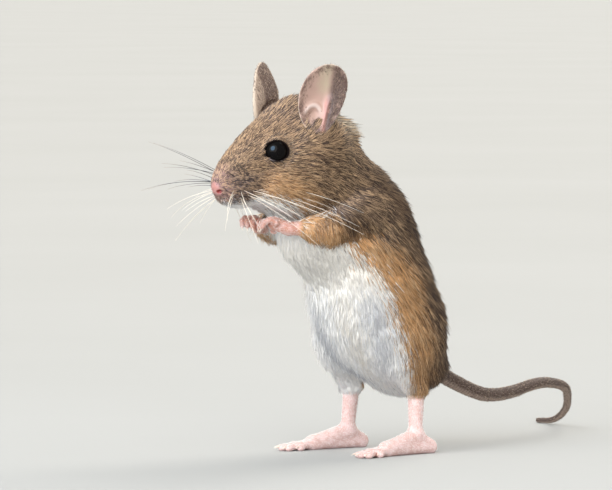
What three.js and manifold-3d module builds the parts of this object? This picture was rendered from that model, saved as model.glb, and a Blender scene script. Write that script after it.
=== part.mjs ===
// A wood mouse standing up on its hind legs with its hands held under its chin, at life size.
// Millimetres, +X ahead of the mouse, +Y to its left, +Z up. Every solid reaches the tips of the coat.
import * as THREE from 'three';
import { mergeVertices } from 'three/addons/utils/BufferGeometryUtils.js';
import { LoftGeometry } from 'three/addons/geometries/LoftGeometry.js';
import Module from 'manifold-3d';

const wasm = await Module();
wasm.setup();

// ---------------------------------------------------------------- driving dimensions

const GAP = 0.3; // clear space between neighbouring solids

// Each mass of the body is an ellipsoid: centre, half sizes, and how far its own Z leans ahead, in degrees.
const SEAT = { at: [-6.4, 0, 18.2], radii: [6.8, 10.4, 6.4], lean: 0 };
const RUMP = { at: [-2.6, 0, 25.6], radii: [11.0, 12.2, 11.4], lean: 0 };
const BELLY = { at: [2.7, 0, 32.4], radii: [13.5, 13.8, 14.6], lean: 6 };
const RIBS = { at: [5.8, 0, 42.5], radii: [12.7, 12.4, 14.0], lean: 22 };
const BREAST = { at: [19.0, 0, 46.5], radii: [6.5, 7.5, 8.5], lean: 45 };
const SHOULDERS = { at: [8.4, 0, 51.1], radii: [11.3, 11.6, 12.8], lean: 38 };
const NECK = { at: [17.0, 0, 58.2], radii: [10.1, 10.2, 11.4], lean: 49 };
const SKULL = { at: [21.5, 0, 65.6], radii: [10.9, 9.8, 11.3], lean: 16 };
const BODY_BLEND = 6; // how softly the great masses run together

const BROW = { at: [32.4, 0, 63.7], radii: [8.8, 6.2, 6.1], lean: 24 };
const CHEEK = { at: [27.0, 4.2, 59.3], radii: [8.0, 5.6, 6.4], lean: 18 };
const LIP = { at: [39.8, 1.7, 57.3], radii: [3.2, 2.2, 2.2], lean: 20 };
const CHIN = { at: [35.8, 0, 55.8], radii: [4.4, 2.7, 2.3], lean: 10 };
const EAR_ROOT = { at: [22.0, 8.0, 68.0], radii: [4.6, 4.0, 4.6], lean: 0 };
const SNOUT_ROOT = [30.5, 0, 62.7];
const SNOUT_TIP = [41.8, 0, 58.7];
const SNOUT_RADII = [6.3, 2.7];
const FACE_BLEND = 3;

const NOSE_AT = [43.7, 0, 58.7];
const NOSE_RADII = [1.5, 1.7, 1.5];
const EYE_AT = [32.35, 5.7, 65.2];
const EYE_RADIUS = 2.65;

const EAR_AT = [22.2, 8.3, 70.6];
const EAR_HEIGHT = 14.8; // from the notch to the tip
const EAR_WIDTH = 11.6;
const EAR_WALL = 0.8;
const EAR_SINK = 1.3; // the notch lies this far below the ear's own zero
const EAR_HOLLOW = [6.0, 2.2]; // how deep the cup lies behind its rim, at the notch and at the tip
const EAR_RIM = [4.6, 1.6]; // how far the rim stands out from the ear's root, at the notch and at the tip
const EAR_EDGE = 0.35; // the power that rounds the edge of the wall
const EAR_TAPER = 0.2; // how much narrower the ear is towards the notch
const EAR_FACING = 36; // degrees from straight out, towards the front
const EAR_SPLAY = 12; // degrees that the tip leans out

const SHOULDER_AT = [12.0, 9.0, 52.4];
const ELBOW_AT = [21.2, 9.6, 49.0];
const WRIST_AT = [28.7, 5.4, 48.9];
const KNUCKLE_AT = [31.2, 3.7, 50.0];
const UPPER_ARM_RADII = [4.4, 3.6];
const UPPER_ARM_COAT = 1.2; // the upper arm's share of the coat reaches this far round its own form
const FOREARM_RADII = [3.3, 1.6];
const PALM_RADII = [1.7, 2.1];
const FINGER_COUNT = 4;
const FINGER_STEP = 1.05;
const FINGER_RADII = [0.72, 0.61];
const FINGER_LENGTHS = [2.3, 1.9]; // to the bend, and from the bend to the tip
const FINGER_REACH = 0.5; // how far the tip runs on ahead of the bend
const FINGER_DROP = [0.25, 0, -1]; // the way that the fingertips hang

const HAUNCH = { at: [1.7, 7.2, 25.0], radii: [8.7, 6.2, 8.6], lean: -26 };
const HAUNCH_BLEND = 3;
const HAUNCH_STEP = 1.5; // the right leg stands this much ahead, the left one as much behind
const THIGH_OFFSET = [0, 3, -1]; // from the haunch's middle to the middle of the thigh's share of the coat
const THIGH_RADII = [9.5, 9.5, 10.5];
const KNEE_AT = [2.2, 8.0, 21.0];
const HOCK_AT = [-0.4, 9.6, 13.5];
const ANKLE_AT = [0.2, 10.2, 3.9];
const HEEL_AT = [-3.4, 10.3, 1.35];
const BALL_AT = [8.8, 11.2, 1.4];
const KNEE_RADIUS = 4.6;
const HOCK_RADIUS = 1.9;
const ANKLE_RADIUS = 1.55;
const ANKLE_CUT = 5.2; // height of the cut between shank and foot
const HEEL_RADIUS = 1.5;
const INSTEP_RADII = [1.75, 1.6];
const SOLE_BLEND = 1;
const TOE_SPREAD = 13; // degrees between neighbouring toes
const TOE_LENGTHS = [4.6, 7.0, 7.6, 7.0, 4.2];
const TOE_RADII = [1.04, 0.81];
const TOE_ROOT = 0.6; // a toe begins this far ahead of the ball of the foot
const TOE_HEIGHTS = [1.02, 0.62]; // height of a toe's middle line at its root and at its tip
const FOOT_TURN = 8; // degrees that each foot points out

const TAIL_ROUTE = [[-7, 0, 19.8], [-13, 0, 17.4], [-19, 0, 14.2], [-26, 0, 11.3], [-31, -0.5, 10.6],
  [-37, -1.5, 11.0], [-43, -3, 12.0], [-49, -5, 12.2], [-57, -9, 10.8], [-63, -15, 8.0], [-68, -22, 4.2],
  [-71, -30, 1.2], [-72, -37, 0.5]];
const TAIL_PIECES = 4;
const TAIL_RADII = [1.9, 0.6];
const TAIL_TAPER = 0.8; // below one, the tail thins most near its root

// The body is one form, parted by two planes: a point of each, and the way that it faces.
const HEAD_CUT = { at: [17.5, 0, 64.0], normal: [0.94, 0, 0.34] };
const NECK_CUT = { at: [14.0, 0, 54.0], normal: [0.45, 0, 0.89] };
// Lines inside the body that its three parts are drawn round, and how far out each part may reach.
const HEAD_CORE = { from: [23, 0, 66], to: [38.5, 0, 60.8], reach: 17 };
const NECK_CORE = { from: [10, 0, 51], to: [20, 0, 62], reach: 18 };
const TRUNK_CORE = { from: [1, 0, 24], to: [9.5, 0, 50], reach: 19 };

// ---------------------------------------------------------------- fineness

const GRID = 0.002; // every corner lies on this grid
const MERGE = 1e-4; // corners closer than this are one corner
const FAR = 1e3; // farther than any surface
const MARCH_STEP = 0.3; // steps along a ray that looks for a surface
const HALVINGS = 12; // how often the step that met the surface is halved
const SHORT_CORE = 0.05; // the line inside a round piece
const HALF_SPACE = 300; // edge of the box that stands for half of space
const EAR_FACES = [18, 9];
const TAIL_SIDES = 8;
const TAIL_RINGS = 7;

// ---------------------------------------------------------------- materials

const coat = new THREE.MeshStandardMaterial({ color: 0x7a5a3c, roughness: 0.95, metalness: 0 });
const skin = new THREE.MeshStandardMaterial({ color: 0xd8a79a, roughness: 0.6, metalness: 0 });
const earSkin = new THREE.MeshStandardMaterial({ color: 0xa9887c, roughness: 0.7, metalness: 0 });
const eyeGloss = new THREE.MeshStandardMaterial({ color: 0x050506, roughness: 0.08, metalness: 0 });
const tailSkin = new THREE.MeshStandardMaterial({ color: 0x5c4c45, roughness: 0.8, metalness: 0 });

// ---------------------------------------------------------------- fields
// A field is below zero inside a form and above zero outside it, close to a distance in millimetres.

const UP = new THREE.Vector3(0, 0, 1);

function mirrored([x, y, z], side) {
  return [x, y * side, z];
}

function ellipsoid([cx, cy, cz], [rx, ry, rz], lean = 0) {
  const cos = Math.cos(THREE.MathUtils.degToRad(lean));
  const sin = Math.sin(THREE.MathUtils.degToRad(lean));
  return (p) => {
    const x = (p.x - cx) * cos - (p.z - cz) * sin;
    const y = p.y - cy;
    const z = (p.x - cx) * sin + (p.z - cz) * cos;
    const near = Math.hypot(x / rx, y / ry, z / rz);
    const slope = Math.hypot(x / (rx * rx), y / (ry * ry), z / (rz * rz));
    return slope > 0 ? (near * (near - 1)) / slope : -Math.min(rx, ry, rz);
  };
}

function mass(form, side = 1, ahead = 0) {
  const [x, y, z] = form.at;
  return ellipsoid([x + ahead, y * side, z], form.radii, form.lean);
}

function limb(from, to, [fromRadius, toRadius]) {
  const a = new THREE.Vector3(...from);
  const along = new THREE.Vector3(...to).sub(a);
  const offset = new THREE.Vector3();
  return (p) => {
    offset.subVectors(p, a);
    const t = THREE.MathUtils.clamp(offset.dot(along) / along.lengthSq(), 0, 1);
    offset.addScaledVector(along, -t);
    return offset.length() - THREE.MathUtils.lerp(fromRadius, toRadius, t);
  };
}

function blended(softness, ...fields) {
  return (p) => fields.reduce((total, field) => {
    const next = field(p);
    const near = Math.max(softness - Math.abs(total - next), 0) / softness;
    return Math.min(total, next) - near * near * softness / 4;
  }, FAR);
}

function grown(field, by) {
  return (p) => field(p) - by;
}

// ---------------------------------------------------------------- solids

// One closed surface: shared corners are merged and faces without area are dropped.
function sealed(shape) {
  const geometry = new THREE.BufferGeometry().copy(shape);
  geometry.deleteAttribute('normal');
  geometry.deleteAttribute('uv');
  const merged = mergeVertices(geometry, MERGE);
  const corners = merged.index.array;
  const faces = [];
  for (let i = 0; i < corners.length; i += 3) {
    const [a, b, c] = [corners[i], corners[i + 1], corners[i + 2]];
    if (a !== b && b !== c && c !== a) faces.push(a, b, c);
  }
  merged.setIndex(faces);
  return merged;
}

// The largest body of a solid, with its corners on a fine grid and without the flat pairs of faces
// that a cut can leave.
function settled(solid) {
  const [largest] = solid.decompose().sort((p, q) => q.volume() - p.volume());
  const shape = largest.getMesh();
  const corners = Float32Array.from(shape.vertProperties, (value) => Math.round(value / GRID) * GRID);
  const placed = new THREE.BufferGeometry();
  placed.setAttribute('position', new THREE.BufferAttribute(corners, 3));
  placed.setIndex(new THREE.BufferAttribute(new Uint32Array(shape.triVerts), 1));
  const merged = sealed(placed);
  const faces = new Map();
  const index = merged.index.array;
  for (let i = 0; i < index.length; i += 3) {
    const triangle = [index[i], index[i + 1], index[i + 2]];
    const key = [...triangle].sort((p, q) => p - q).join();
    if (faces.has(key)) faces.delete(key);
    else faces.set(key, triangle);
  }
  merged.setIndex([...faces.values()].flat());
  return merged;
}

function solidFrom(surface) {
  return new wasm.Manifold(new wasm.Mesh({
    numProp: 3,
    vertProperties: new Float32Array(surface.attributes.position.array),
    triVerts: new Uint32Array(surface.index.array),
  }));
}

// How far a ray runs from a start inside the field before it meets the field's surface.
function distanceOut(field, start, ray, reach) {
  const point = new THREE.Vector3();
  const inside = (distance) => field(point.copy(start).addScaledVector(ray, distance)) < 0;
  let outer = MARCH_STEP;
  while (outer < reach && inside(outer)) outer += MARCH_STEP;
  let inner = outer - MARCH_STEP;
  for (let halving = 0; halving < HALVINGS && outer < reach; halving += 1) {
    const half = (inner + outer) / 2;
    if (inside(half)) inner = half;
    else outer = half;
  }
  return outer;
}

// A capsule round the line from one point to another, stretched until it lies on the field's surface.
// Its fineness is [rows of each cap, rings along the line, columns round it].
function wrapped(field, from, to, [rows, rings, columns], reach = FAR) {
  const a = new THREE.Vector3(...from);
  const b = new THREE.Vector3(...to);
  const half = a.distanceTo(b) / 2;
  const along = b.clone().sub(a).normalize();
  const turn = new THREE.Quaternion().setFromUnitVectors(new THREE.Vector3(0, 1, 0), along);
  const middle = a.clone().lerp(b, 0.5);
  const geometry = sealed(new THREE.CapsuleGeometry(1, half * 2, rows, columns, rings));
  const position = geometry.attributes.position;
  for (let i = 0; i < position.count; i += 1) {
    const point = new THREE.Vector3().fromBufferAttribute(position, i);
    const start = new THREE.Vector3(0, THREE.MathUtils.clamp(point.y, -half, half), 0);
    const ray = point.sub(start).normalize().applyQuaternion(turn);
    start.applyQuaternion(turn).add(middle);
    start.addScaledVector(ray, distanceOut(field, start, ray, reach));
    position.setXYZ(i, start.x, start.y, start.z);
  }
  return solidFrom(geometry);
}

// Half of space as a large box, on the side of a plane that its normal points to.
// The plane is moved back by the last value.
function beyond(point, normal, by = 0) {
  const n = new THREE.Vector3(...normal).normalize();
  const geometry = sealed(new THREE.BoxGeometry(HALF_SPACE, HALF_SPACE, HALF_SPACE));
  geometry.applyQuaternion(new THREE.Quaternion().setFromUnitVectors(UP, n));
  geometry.translate(...new THREE.Vector3(...point).addScaledVector(n, HALF_SPACE / 2 - by));
  return solidFrom(geometry);
}

function opposite(normal) {
  return normal.map((value) => -value);
}

const belowFloor = beyond([0, 0, 0], [0, 0, -1]);

// ---------------------------------------------------------------- the whole body as one field

const bothSides = (form) => [mass(form, 1), mass(form, -1)];
const greatMasses = [SEAT, RUMP, BELLY, RIBS, BREAST, SHOULDERS, NECK, SKULL];
const torso = blended(BODY_BLEND, ...greatMasses.map((form) => mass(form)));
const face = blended(
  FACE_BLEND,
  limb(SNOUT_ROOT, SNOUT_TIP, SNOUT_RADII),
  mass(BROW),
  mass(CHIN),
  ...bothSides(CHEEK),
  ...bothSides(LIP),
  ...bothSides(EAR_ROOT),
);
const haunchField = (side) => mass(HAUNCH, side, -side * HAUNCH_STEP);
const upperArmField = (side) => limb(mirrored(SHOULDER_AT, side), mirrored(ELBOW_AT, side), UPPER_ARM_RADII);
const body = blended(
  HAUNCH_BLEND,
  blended(BODY_BLEND, torso, face),
  haunchField(1),
  haunchField(-1),
  upperArmField(1),
  upperArmField(-1),
);

const bodyPart = ({ from, to, reach }, fineness, by) => wrapped(grown(body, by), from, to, fineness, reach);
const headPart = (by) => bodyPart(HEAD_CORE, [5, 8, 22], by)
  .subtract(beyond(HEAD_CUT.at, opposite(HEAD_CUT.normal), -by));
const neckPart = (by) => bodyPart(NECK_CORE, [4, 4, 20], by)
  .subtract(beyond(NECK_CUT.at, opposite(NECK_CUT.normal), -by));
const trunkWhole = bodyPart(TRUNK_CORE, [4, 9, 20], 0).subtract(beyond(NECK_CUT.at, NECK_CUT.normal));

// ---------------------------------------------------------------- nose, eyes and ears

const nosePart = (by) => wrapped(
  grown(ellipsoid(NOSE_AT, NOSE_RADII), by),
  [NOSE_AT[0] - SHORT_CORE, NOSE_AT[1], NOSE_AT[2]],
  NOSE_AT,
  [3, 1, 8],
);

function eyePart(side, by) {
  const [x, y, z] = EYE_AT;
  const ball = ellipsoid(mirrored(EYE_AT, side), Array(3).fill(EYE_RADIUS + by));
  return wrapped(ball, mirrored([x, y - SHORT_CORE, z], side), mirrored(EYE_AT, side), [4, 1, 10]);
}

// A round leaf with a hollow: a sphere whose Y poles become the middles of the hollow face and the back.
function earPart(side, by) {
  const facing = THREE.MathUtils.degToRad(EAR_FACING);
  const splay = THREE.MathUtils.degToRad(EAR_SPLAY);
  const across = new THREE.Vector3(-Math.cos(facing), side * Math.sin(facing), 0);
  const out = new THREE.Vector3(Math.sin(facing), side * Math.cos(facing), 0);
  const up = new THREE.Vector3(0, side * Math.sin(splay), Math.cos(splay));
  const centre = new THREE.Vector3(...mirrored(EAR_AT, side)).addScaledVector(up, EAR_HEIGHT / 2 - EAR_SINK);
  const geometry = sealed(new THREE.SphereGeometry(1, ...EAR_FACES));
  const position = geometry.attributes.position;
  for (let i = 0; i < position.count; i += 1) {
    const radius = Math.hypot(position.getX(i), position.getZ(i));
    const turn = Math.atan2(-side * position.getX(i), position.getZ(i));
    const height = radius * Math.cos(turn);
    const width = radius * Math.sin(turn) * (1 - EAR_TAPER * (1 - height));
    const rise = (height + 1) / 2;
    const hollow = (1 - radius * radius) * THREE.MathUtils.lerp(...EAR_HOLLOW, rise);
    const rim = THREE.MathUtils.lerp(...EAR_RIM, rise);
    const faceOrBack = position.getY(i);
    const wall = (EAR_WALL / 2 + by) * Math.sign(faceOrBack) * Math.abs(faceOrBack) ** EAR_EDGE;
    const point = centre.clone()
      .addScaledVector(up, height * (EAR_HEIGHT / 2 + by))
      .addScaledVector(across, width * (EAR_WIDTH / 2 + by))
      .addScaledVector(out, rim - hollow + wall);
    position.setXYZ(i, point.x, point.y, point.z);
  }
  return solidFrom(geometry);
}

// ---------------------------------------------------------------- arms and hands

// An upper arm is its share of the coat, or as large as the hole that it leaves in the trunk.
function upperArmPart(side, by) {
  const share = wrapped(
    grown(upperArmField(side), UPPER_ARM_COAT + by),
    mirrored(SHOULDER_AT, side),
    mirrored(ELBOW_AT, side),
    [3, 2, 12],
  );
  return by > 0 ? share : trunkWhole.intersect(share);
}

function handAxes(side) {
  const wrist = new THREE.Vector3(...mirrored(WRIST_AT, side));
  const knuckle = new THREE.Vector3(...mirrored(KNUCKLE_AT, side));
  const ahead = knuckle.clone().sub(wrist).normalize();
  const down = new THREE.Vector3(...FINGER_DROP).normalize();
  const across = new THREE.Vector3().crossVectors(down, ahead).normalize();
  return { wrist, knuckle, ahead, down, across };
}

function forearmPart(side, by) {
  const elbow = mirrored(ELBOW_AT, side);
  const { wrist, ahead } = handAxes(side);
  const arm = limb(elbow, wrist.toArray(), FOREARM_RADII);
  return wrapped(grown(arm, by), elbow, wrist.toArray(), [3, 3, 10])
    .subtract(beyond(wrist.toArray(), ahead.toArray(), GAP / 2 - by));
}

function handPart(side, by) {
  const { wrist, knuckle, ahead, down, across } = handAxes(side);
  const palm = limb(wrist.toArray(), knuckle.toArray(), PALM_RADII);
  let hand = wrapped(grown(palm, by), wrist.toArray(), knuckle.toArray(), [3, 2, 10])
    .subtract(beyond(wrist.toArray(), opposite(ahead.toArray()), GAP / 2 - by));
  for (let finger = 0; finger < FINGER_COUNT; finger += 1) {
    const offset = (finger - (FINGER_COUNT - 1) / 2) * FINGER_STEP;
    const root = knuckle.clone().addScaledVector(across, offset);
    const bend = root.clone().addScaledVector(ahead, FINGER_LENGTHS[0]);
    const tip = bend.clone().addScaledVector(ahead, FINGER_REACH).addScaledVector(down, FINGER_LENGTHS[1]);
    for (const ends of [[root.toArray(), bend.toArray()], [bend.toArray(), tip.toArray()]]) {
      hand = hand.add(wrapped(grown(limb(...ends, FINGER_RADII), by), ...ends, [1, 1, 6]));
    }
  }
  return hand;
}

// ---------------------------------------------------------------- legs and feet

function hindPoint([x, y, z], side) {
  return [x - side * HAUNCH_STEP, y * side, z];
}

// A thigh is its share of the coat, or as large as the hole that it leaves in the trunk.
function thighPart(side, by) {
  const centre = hindPoint(HAUNCH.at.map((value, axis) => value + THIGH_OFFSET[axis]), side);
  const share = ellipsoid(centre, THIGH_RADII.map((size) => size + by), HAUNCH.lean);
  const solid = wrapped(share, centre, [centre[0], centre[1], centre[2] + SHORT_CORE], [4, 1, 14]);
  return by > 0 ? solid : trunkWhole.intersect(solid);
}

function shankPart(side, by) {
  const knee = hindPoint(KNEE_AT, side);
  const hock = hindPoint(HOCK_AT, side);
  const ankle = hindPoint(ANKLE_AT, side);
  const calf = limb(knee, hock, [KNEE_RADIUS, HOCK_RADIUS]);
  const shin = limb(hock, ankle, [HOCK_RADIUS, ANKLE_RADIUS]);
  return wrapped(grown(calf, by), knee, hock, [3, 2, 10])
    .add(wrapped(grown(shin, by), hock, ankle, [3, 2, 10]))
    .subtract(beyond([0, 0, ANKLE_CUT], [0, 0, -1], GAP / 2 - by));
}

function footPart(side, by) {
  const ankle = hindPoint(ANKLE_AT, side);
  const heel = hindPoint(HEEL_AT, side);
  const ball = hindPoint(BALL_AT, side);
  const sole = blended(
    SOLE_BLEND,
    limb(ankle, ball, INSTEP_RADII),
    limb(ankle, heel, [INSTEP_RADII[0], HEEL_RADIUS]),
    limb(heel, ball, [HEEL_RADIUS, INSTEP_RADII[1]]),
    limb(ankle, hindPoint(HOCK_AT, side), [ANKLE_RADIUS, HOCK_RADIUS]),
  );
  const inHeel = [heel[0] + HEEL_RADIUS, heel[1], heel[2]];
  let foot = wrapped(grown(sole, by), inHeel, ball, [3, 4, 12])
    .subtract(beyond([0, 0, ANKLE_CUT], [0, 0, 1], GAP / 2 - by));
  TOE_LENGTHS.forEach((length, toe) => {
    const turn = THREE.MathUtils.degToRad(FOOT_TURN + (toe - (TOE_LENGTHS.length - 1) / 2) * TOE_SPREAD);
    const toePoint = (distance, height) => [
      ball[0] + Math.cos(turn) * distance,
      ball[1] + Math.sin(turn) * distance * side,
      height,
    ];
    const ends = [toePoint(TOE_ROOT, TOE_HEIGHTS[0]), toePoint(length, TOE_HEIGHTS[1])];
    foot = foot.add(wrapped(grown(limb(...ends, TOE_RADII), by), ...ends, [1, 1, 6]));
  });
  return foot.subtract(belowFloor);
}

// ---------------------------------------------------------------- tail

const tailCurve = new THREE.CatmullRomCurve3(TAIL_ROUTE.map((p) => new THREE.Vector3(...p)));

function tailSection(t, by) {
  const centre = tailCurve.getPointAt(t);
  const along = tailCurve.getTangentAt(t);
  const across = UP.clone().cross(along).normalize();
  const up = along.clone().cross(across);
  const radius = THREE.MathUtils.lerp(...TAIL_RADII, t ** TAIL_TAPER) + by;
  return Array.from({ length: TAIL_SIDES }, (_, corner) => {
    const angle = (corner / TAIL_SIDES) * Math.PI * 2;
    return centre.clone()
      .addScaledVector(across, Math.cos(angle) * radius)
      .addScaledVector(up, Math.sin(angle) * radius);
  });
}

function tailPart(piece, by) {
  const halfGap = GAP / 2 / tailCurve.getLength();
  const start = piece / TAIL_PIECES + (piece > 0 ? halfGap : 0);
  const end = (piece + 1) / TAIL_PIECES - (piece < TAIL_PIECES - 1 ? halfGap : 0);
  const sections = [];
  for (let ring = 0; ring <= TAIL_RINGS; ring += 1) {
    sections.push(tailSection(THREE.MathUtils.lerp(start, end, ring / TAIL_RINGS), by));
  }
  const tube = new LoftGeometry(sections, { closed: true, capStart: true, capEnd: true });
  return solidFrom(sealed(tube)).subtract(belowFloor);
}

// ---------------------------------------------------------------- the mouse

const mouse = new THREE.Group();
mouse.name = 'field_mouse';

// A part is made at its own size, or grown by the gap where it is cut out of a neighbour made later.
const made = new Map();

function addPart(name, make, material, neighbours = []) {
  const whole = neighbours.reduce((solid, neighbour) => solid.subtract(made.get(neighbour)(GAP)), make(0));
  const geometry = settled(whole);
  geometry.computeVertexNormals();
  const mesh = new THREE.Mesh(geometry, material);
  mesh.name = name;
  mouse.add(mesh);
  made.set(name, make);
}

addPart('nose', nosePart, skin);
for (const [word, side] of [['left', 1], ['right', -1]]) {
  addPart(`eye_${word}`, (by) => eyePart(side, by), eyeGloss);
  addPart(`ear_${word}`, (by) => earPart(side, by), earSkin);
  addPart(`hand_${word}`, (by) => handPart(side, by), skin);
  addPart(`forearm_${word}`, (by) => forearmPart(side, by), coat);
  addPart(`upper_arm_${word}`, (by) => upperArmPart(side, by), coat, [`forearm_${word}`]);
  addPart(`foot_${word}`, (by) => footPart(side, by), skin);
  addPart(`shank_${word}`, (by) => shankPart(side, by), skin);
  addPart(`thigh_${word}`, (by) => thighPart(side, by), coat, [`shank_${word}`]);
}
const smallParts = [...made.keys()];
for (let piece = 0; piece < TAIL_PIECES; piece += 1) {
  addPart(`tail_${piece + 1}`, (by) => tailPart(piece, by), tailSkin);
}
addPart('head', headPart, coat, smallParts);
addPart('neck', neckPart, coat, [...smallParts, 'head']);
addPart('trunk', () => trunkWhole, coat, [...smallParts, 'tail_1', 'head', 'neck']);

// The origin is on the floor, under the middle of the whole mouse.
const middle = new THREE.Box3().setFromObject(mouse).getCenter(new THREE.Vector3());
mouse.position.set(-Math.round(middle.x / GRID) * GRID, -Math.round(middle.y / GRID) * GRID, 0);

export default mouse;
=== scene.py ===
# %% [markdown]
# # A wood mouse that stands up, at life size
#
# This lesson dresses a plain model of a mouse: one smooth skin, wet eyes, claws, whiskers, and a coat of more
# than two hundred thousand small tufts. The plain solids come first, because every size and place is taken
# from them.

# %% Load the plain model
import itertools
import math
import bpy
import numpy as np
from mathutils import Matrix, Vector


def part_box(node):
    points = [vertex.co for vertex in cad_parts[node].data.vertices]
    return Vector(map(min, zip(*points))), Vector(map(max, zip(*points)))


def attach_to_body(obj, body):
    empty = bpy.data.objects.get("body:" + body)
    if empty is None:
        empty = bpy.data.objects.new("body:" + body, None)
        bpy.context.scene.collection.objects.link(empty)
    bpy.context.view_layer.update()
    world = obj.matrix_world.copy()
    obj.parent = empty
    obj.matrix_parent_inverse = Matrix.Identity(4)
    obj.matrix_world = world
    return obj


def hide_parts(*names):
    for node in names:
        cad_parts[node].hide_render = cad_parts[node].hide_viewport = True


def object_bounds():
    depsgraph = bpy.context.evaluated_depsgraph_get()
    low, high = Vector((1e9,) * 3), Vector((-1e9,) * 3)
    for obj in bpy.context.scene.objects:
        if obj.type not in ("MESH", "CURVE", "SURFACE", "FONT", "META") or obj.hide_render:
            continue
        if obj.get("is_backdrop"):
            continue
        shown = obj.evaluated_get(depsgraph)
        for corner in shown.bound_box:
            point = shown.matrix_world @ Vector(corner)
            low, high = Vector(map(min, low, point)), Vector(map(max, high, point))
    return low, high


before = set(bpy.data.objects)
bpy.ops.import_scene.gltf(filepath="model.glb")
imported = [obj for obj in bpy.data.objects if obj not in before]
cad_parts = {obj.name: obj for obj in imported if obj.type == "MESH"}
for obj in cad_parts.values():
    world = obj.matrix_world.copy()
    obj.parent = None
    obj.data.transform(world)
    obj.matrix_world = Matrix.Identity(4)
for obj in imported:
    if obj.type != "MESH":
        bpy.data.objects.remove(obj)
cad_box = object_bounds()
print("nodes:", len(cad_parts))

# %% [markdown]
# ## Millimetres from the mouse's own zero
#
# The plain model is in metres, and its zero lies under the middle of its box. An animal's measures are easier
# to read in millimetres, from a point on the floor between its hind feet: ahead, to its left, and up. The
# eyes are known in both, so they say where the one zero lies in the other.

# %% The mouse's own zero
MM = 0.001
SIDES = {"left": 1, "right": -1}
BOTH = tuple(SIDES.values())
EYE_AT = np.array([32.35, 5.7, 65.2])

eye_boxes = [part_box(f"eye_{side}") for side in SIDES]
eyes_middle = np.mean([list((low + high) / 2) for low, high in eye_boxes], axis=0)
ORIGIN = eyes_middle - EYE_AT * [1, 0, 1] * MM
print("the mouse's own zero lies at", ORIGIN.round(5))


def placed(points):
    """Millimetres from the mouse's own zero become metres in the shared frame."""
    return np.asarray(points, float) * MM + ORIGIN


def mirrored(point, side):
    """A point given for the left side (1), or its mirror image on the right side (-1)."""
    return np.array(point, float) * [1, side, 1]


def on_the_left(p):
    """The points, with those of the right side mirrored to the left."""
    return p * [1, 0, 1] + np.abs(p) * [0, 1, 0]


# %% [markdown]
# ## Camera
#
# The camera stands far away with a long lens, as one does with a shy animal: a long lens flattens the
# perspective, so the nose isn't swollen. The lens is worked out from how wide the view is at the mouse.

# %% Camera
AZIMUTH, ELEVATION = math.radians(144), math.radians(3)
AIM = placed([20.25, 0, 44.95])
DISTANCE = 1.2
VIEW_PIXELS, PIXELS_PER_MM = 612, 4.7

view_width = VIEW_PIXELS / PIXELS_PER_MM * MM
camera = bpy.data.objects.new("camera", bpy.data.cameras.new("camera"))
bpy.context.scene.collection.objects.link(camera)
camera.data.lens = camera.data.sensor_width * DISTANCE / view_width
away = Vector((
    math.sin(AZIMUTH) * math.cos(ELEVATION),
    -math.cos(AZIMUTH) * math.cos(ELEVATION),
    math.sin(ELEVATION),
))
camera.location = Vector(AIM) + away * DISTANCE
camera.rotation_euler = away.to_track_quat("Z", "Y").to_euler()
bpy.context.scene.camera = camera
print("lens", round(camera.data.lens), "mm at", DISTANCE, "m")

# %% [markdown]
# ## Forms as fields
#
# A body is a family of soft masses that run into each other, and a field says it best: a function that is
# below zero inside a form and above zero outside it, about as many millimetres as the surface is away.
# Two fields are joined with a soft minimum, which rounds the crease between them, and one is carved out of
# another with a soft maximum. Numpy works a field out for a hundred thousand points at once.

# %% Two simple forms
def smooth(low, high, x):
    """0 at low, 1 at high and a soft step between them. Low may be the larger of the two."""
    t = np.clip((x - low) / (high - low), 0, 1)
    return t * t * (3 - 2 * t)


def ellipsoid(at, radii, lean=0):
    """An egg shape round a point, leaning back by some degrees."""
    at, radii = np.array(at, float), np.array(radii, float)
    cos, sin = math.cos(math.radians(lean)), math.sin(math.radians(lean))
    turn = np.array([[cos, 0, -sin], [0, 1, 0], [sin, 0, cos]])

    def field(p):
        q = (p - at) @ turn.T
        near = np.sqrt(((q / radii) ** 2).sum(1))
        slope = np.sqrt(((q / radii ** 2) ** 2).sum(1)) + 1e-9
        return near * (near - 1) / slope
    return field


def limb(start, end, radii):
    """A round bar with a radius at each end."""
    start, along = np.array(start, float), np.subtract(end, start).astype(float)

    def field(p):
        offset = p - start
        t = np.clip(offset @ along / (along @ along), 0, 1)
        return np.linalg.norm(offset - t[:, None] * along, axis=1) - radii[0] - (radii[1] - radii[0]) * t
    return field


ball = ellipsoid([0, 0, 0], [5, 5, 5])
print("7 mm from the middle of a 5 mm ball the field is", ball(np.array([[7.0, 0, 0]])).round(2))

# %% Joining and carving
OUTSIDE = 6.0


def joined(softness, a, b):
    """Two forms as one, with the crease between them filled over `softness` millimetres."""
    near = np.maximum(softness - np.abs(a - b), 0) / softness
    return np.minimum(a, b) - near * near * softness / 4


def carved(softness, a, hole):
    """A form with a hole taken out of it."""
    return -joined(softness, -a, hole)


def blended(softness, *fields):
    """One field for many, joined one after another."""
    def field(p):
        total = fields[0](p)
        for other in fields[1:]:
            total = joined(softness, total, other(p))
        return total
    return field


def boxed(box, field, side=1):
    """Works a small form out only inside its box, because most points lie far from it."""
    low, high = np.sort([mirrored(corner, side) for corner in box], axis=0)

    def inner(p):
        value = np.full(len(p), OUTSIDE)
        inside = ((p > low) & (p < high)).all(1)
        if inside.any():
            value[inside] = field(p[inside])
        return value
    return inner


print("a crease filled over 2 mm grows by", -joined(2.0, 0.0, 0.0), "mm")

# %% [markdown]
# ## The lie and the length of the coat
#
# Fur isn't the same anywhere: it is a millimetre long on the face and four on the back, and it runs from the
# nose over the head and down the body. Thirty guides on each side hold that: a place, the way that the hair
# runs there, and its length. Any other point takes a mean of the guides, the nearest counting most.

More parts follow.
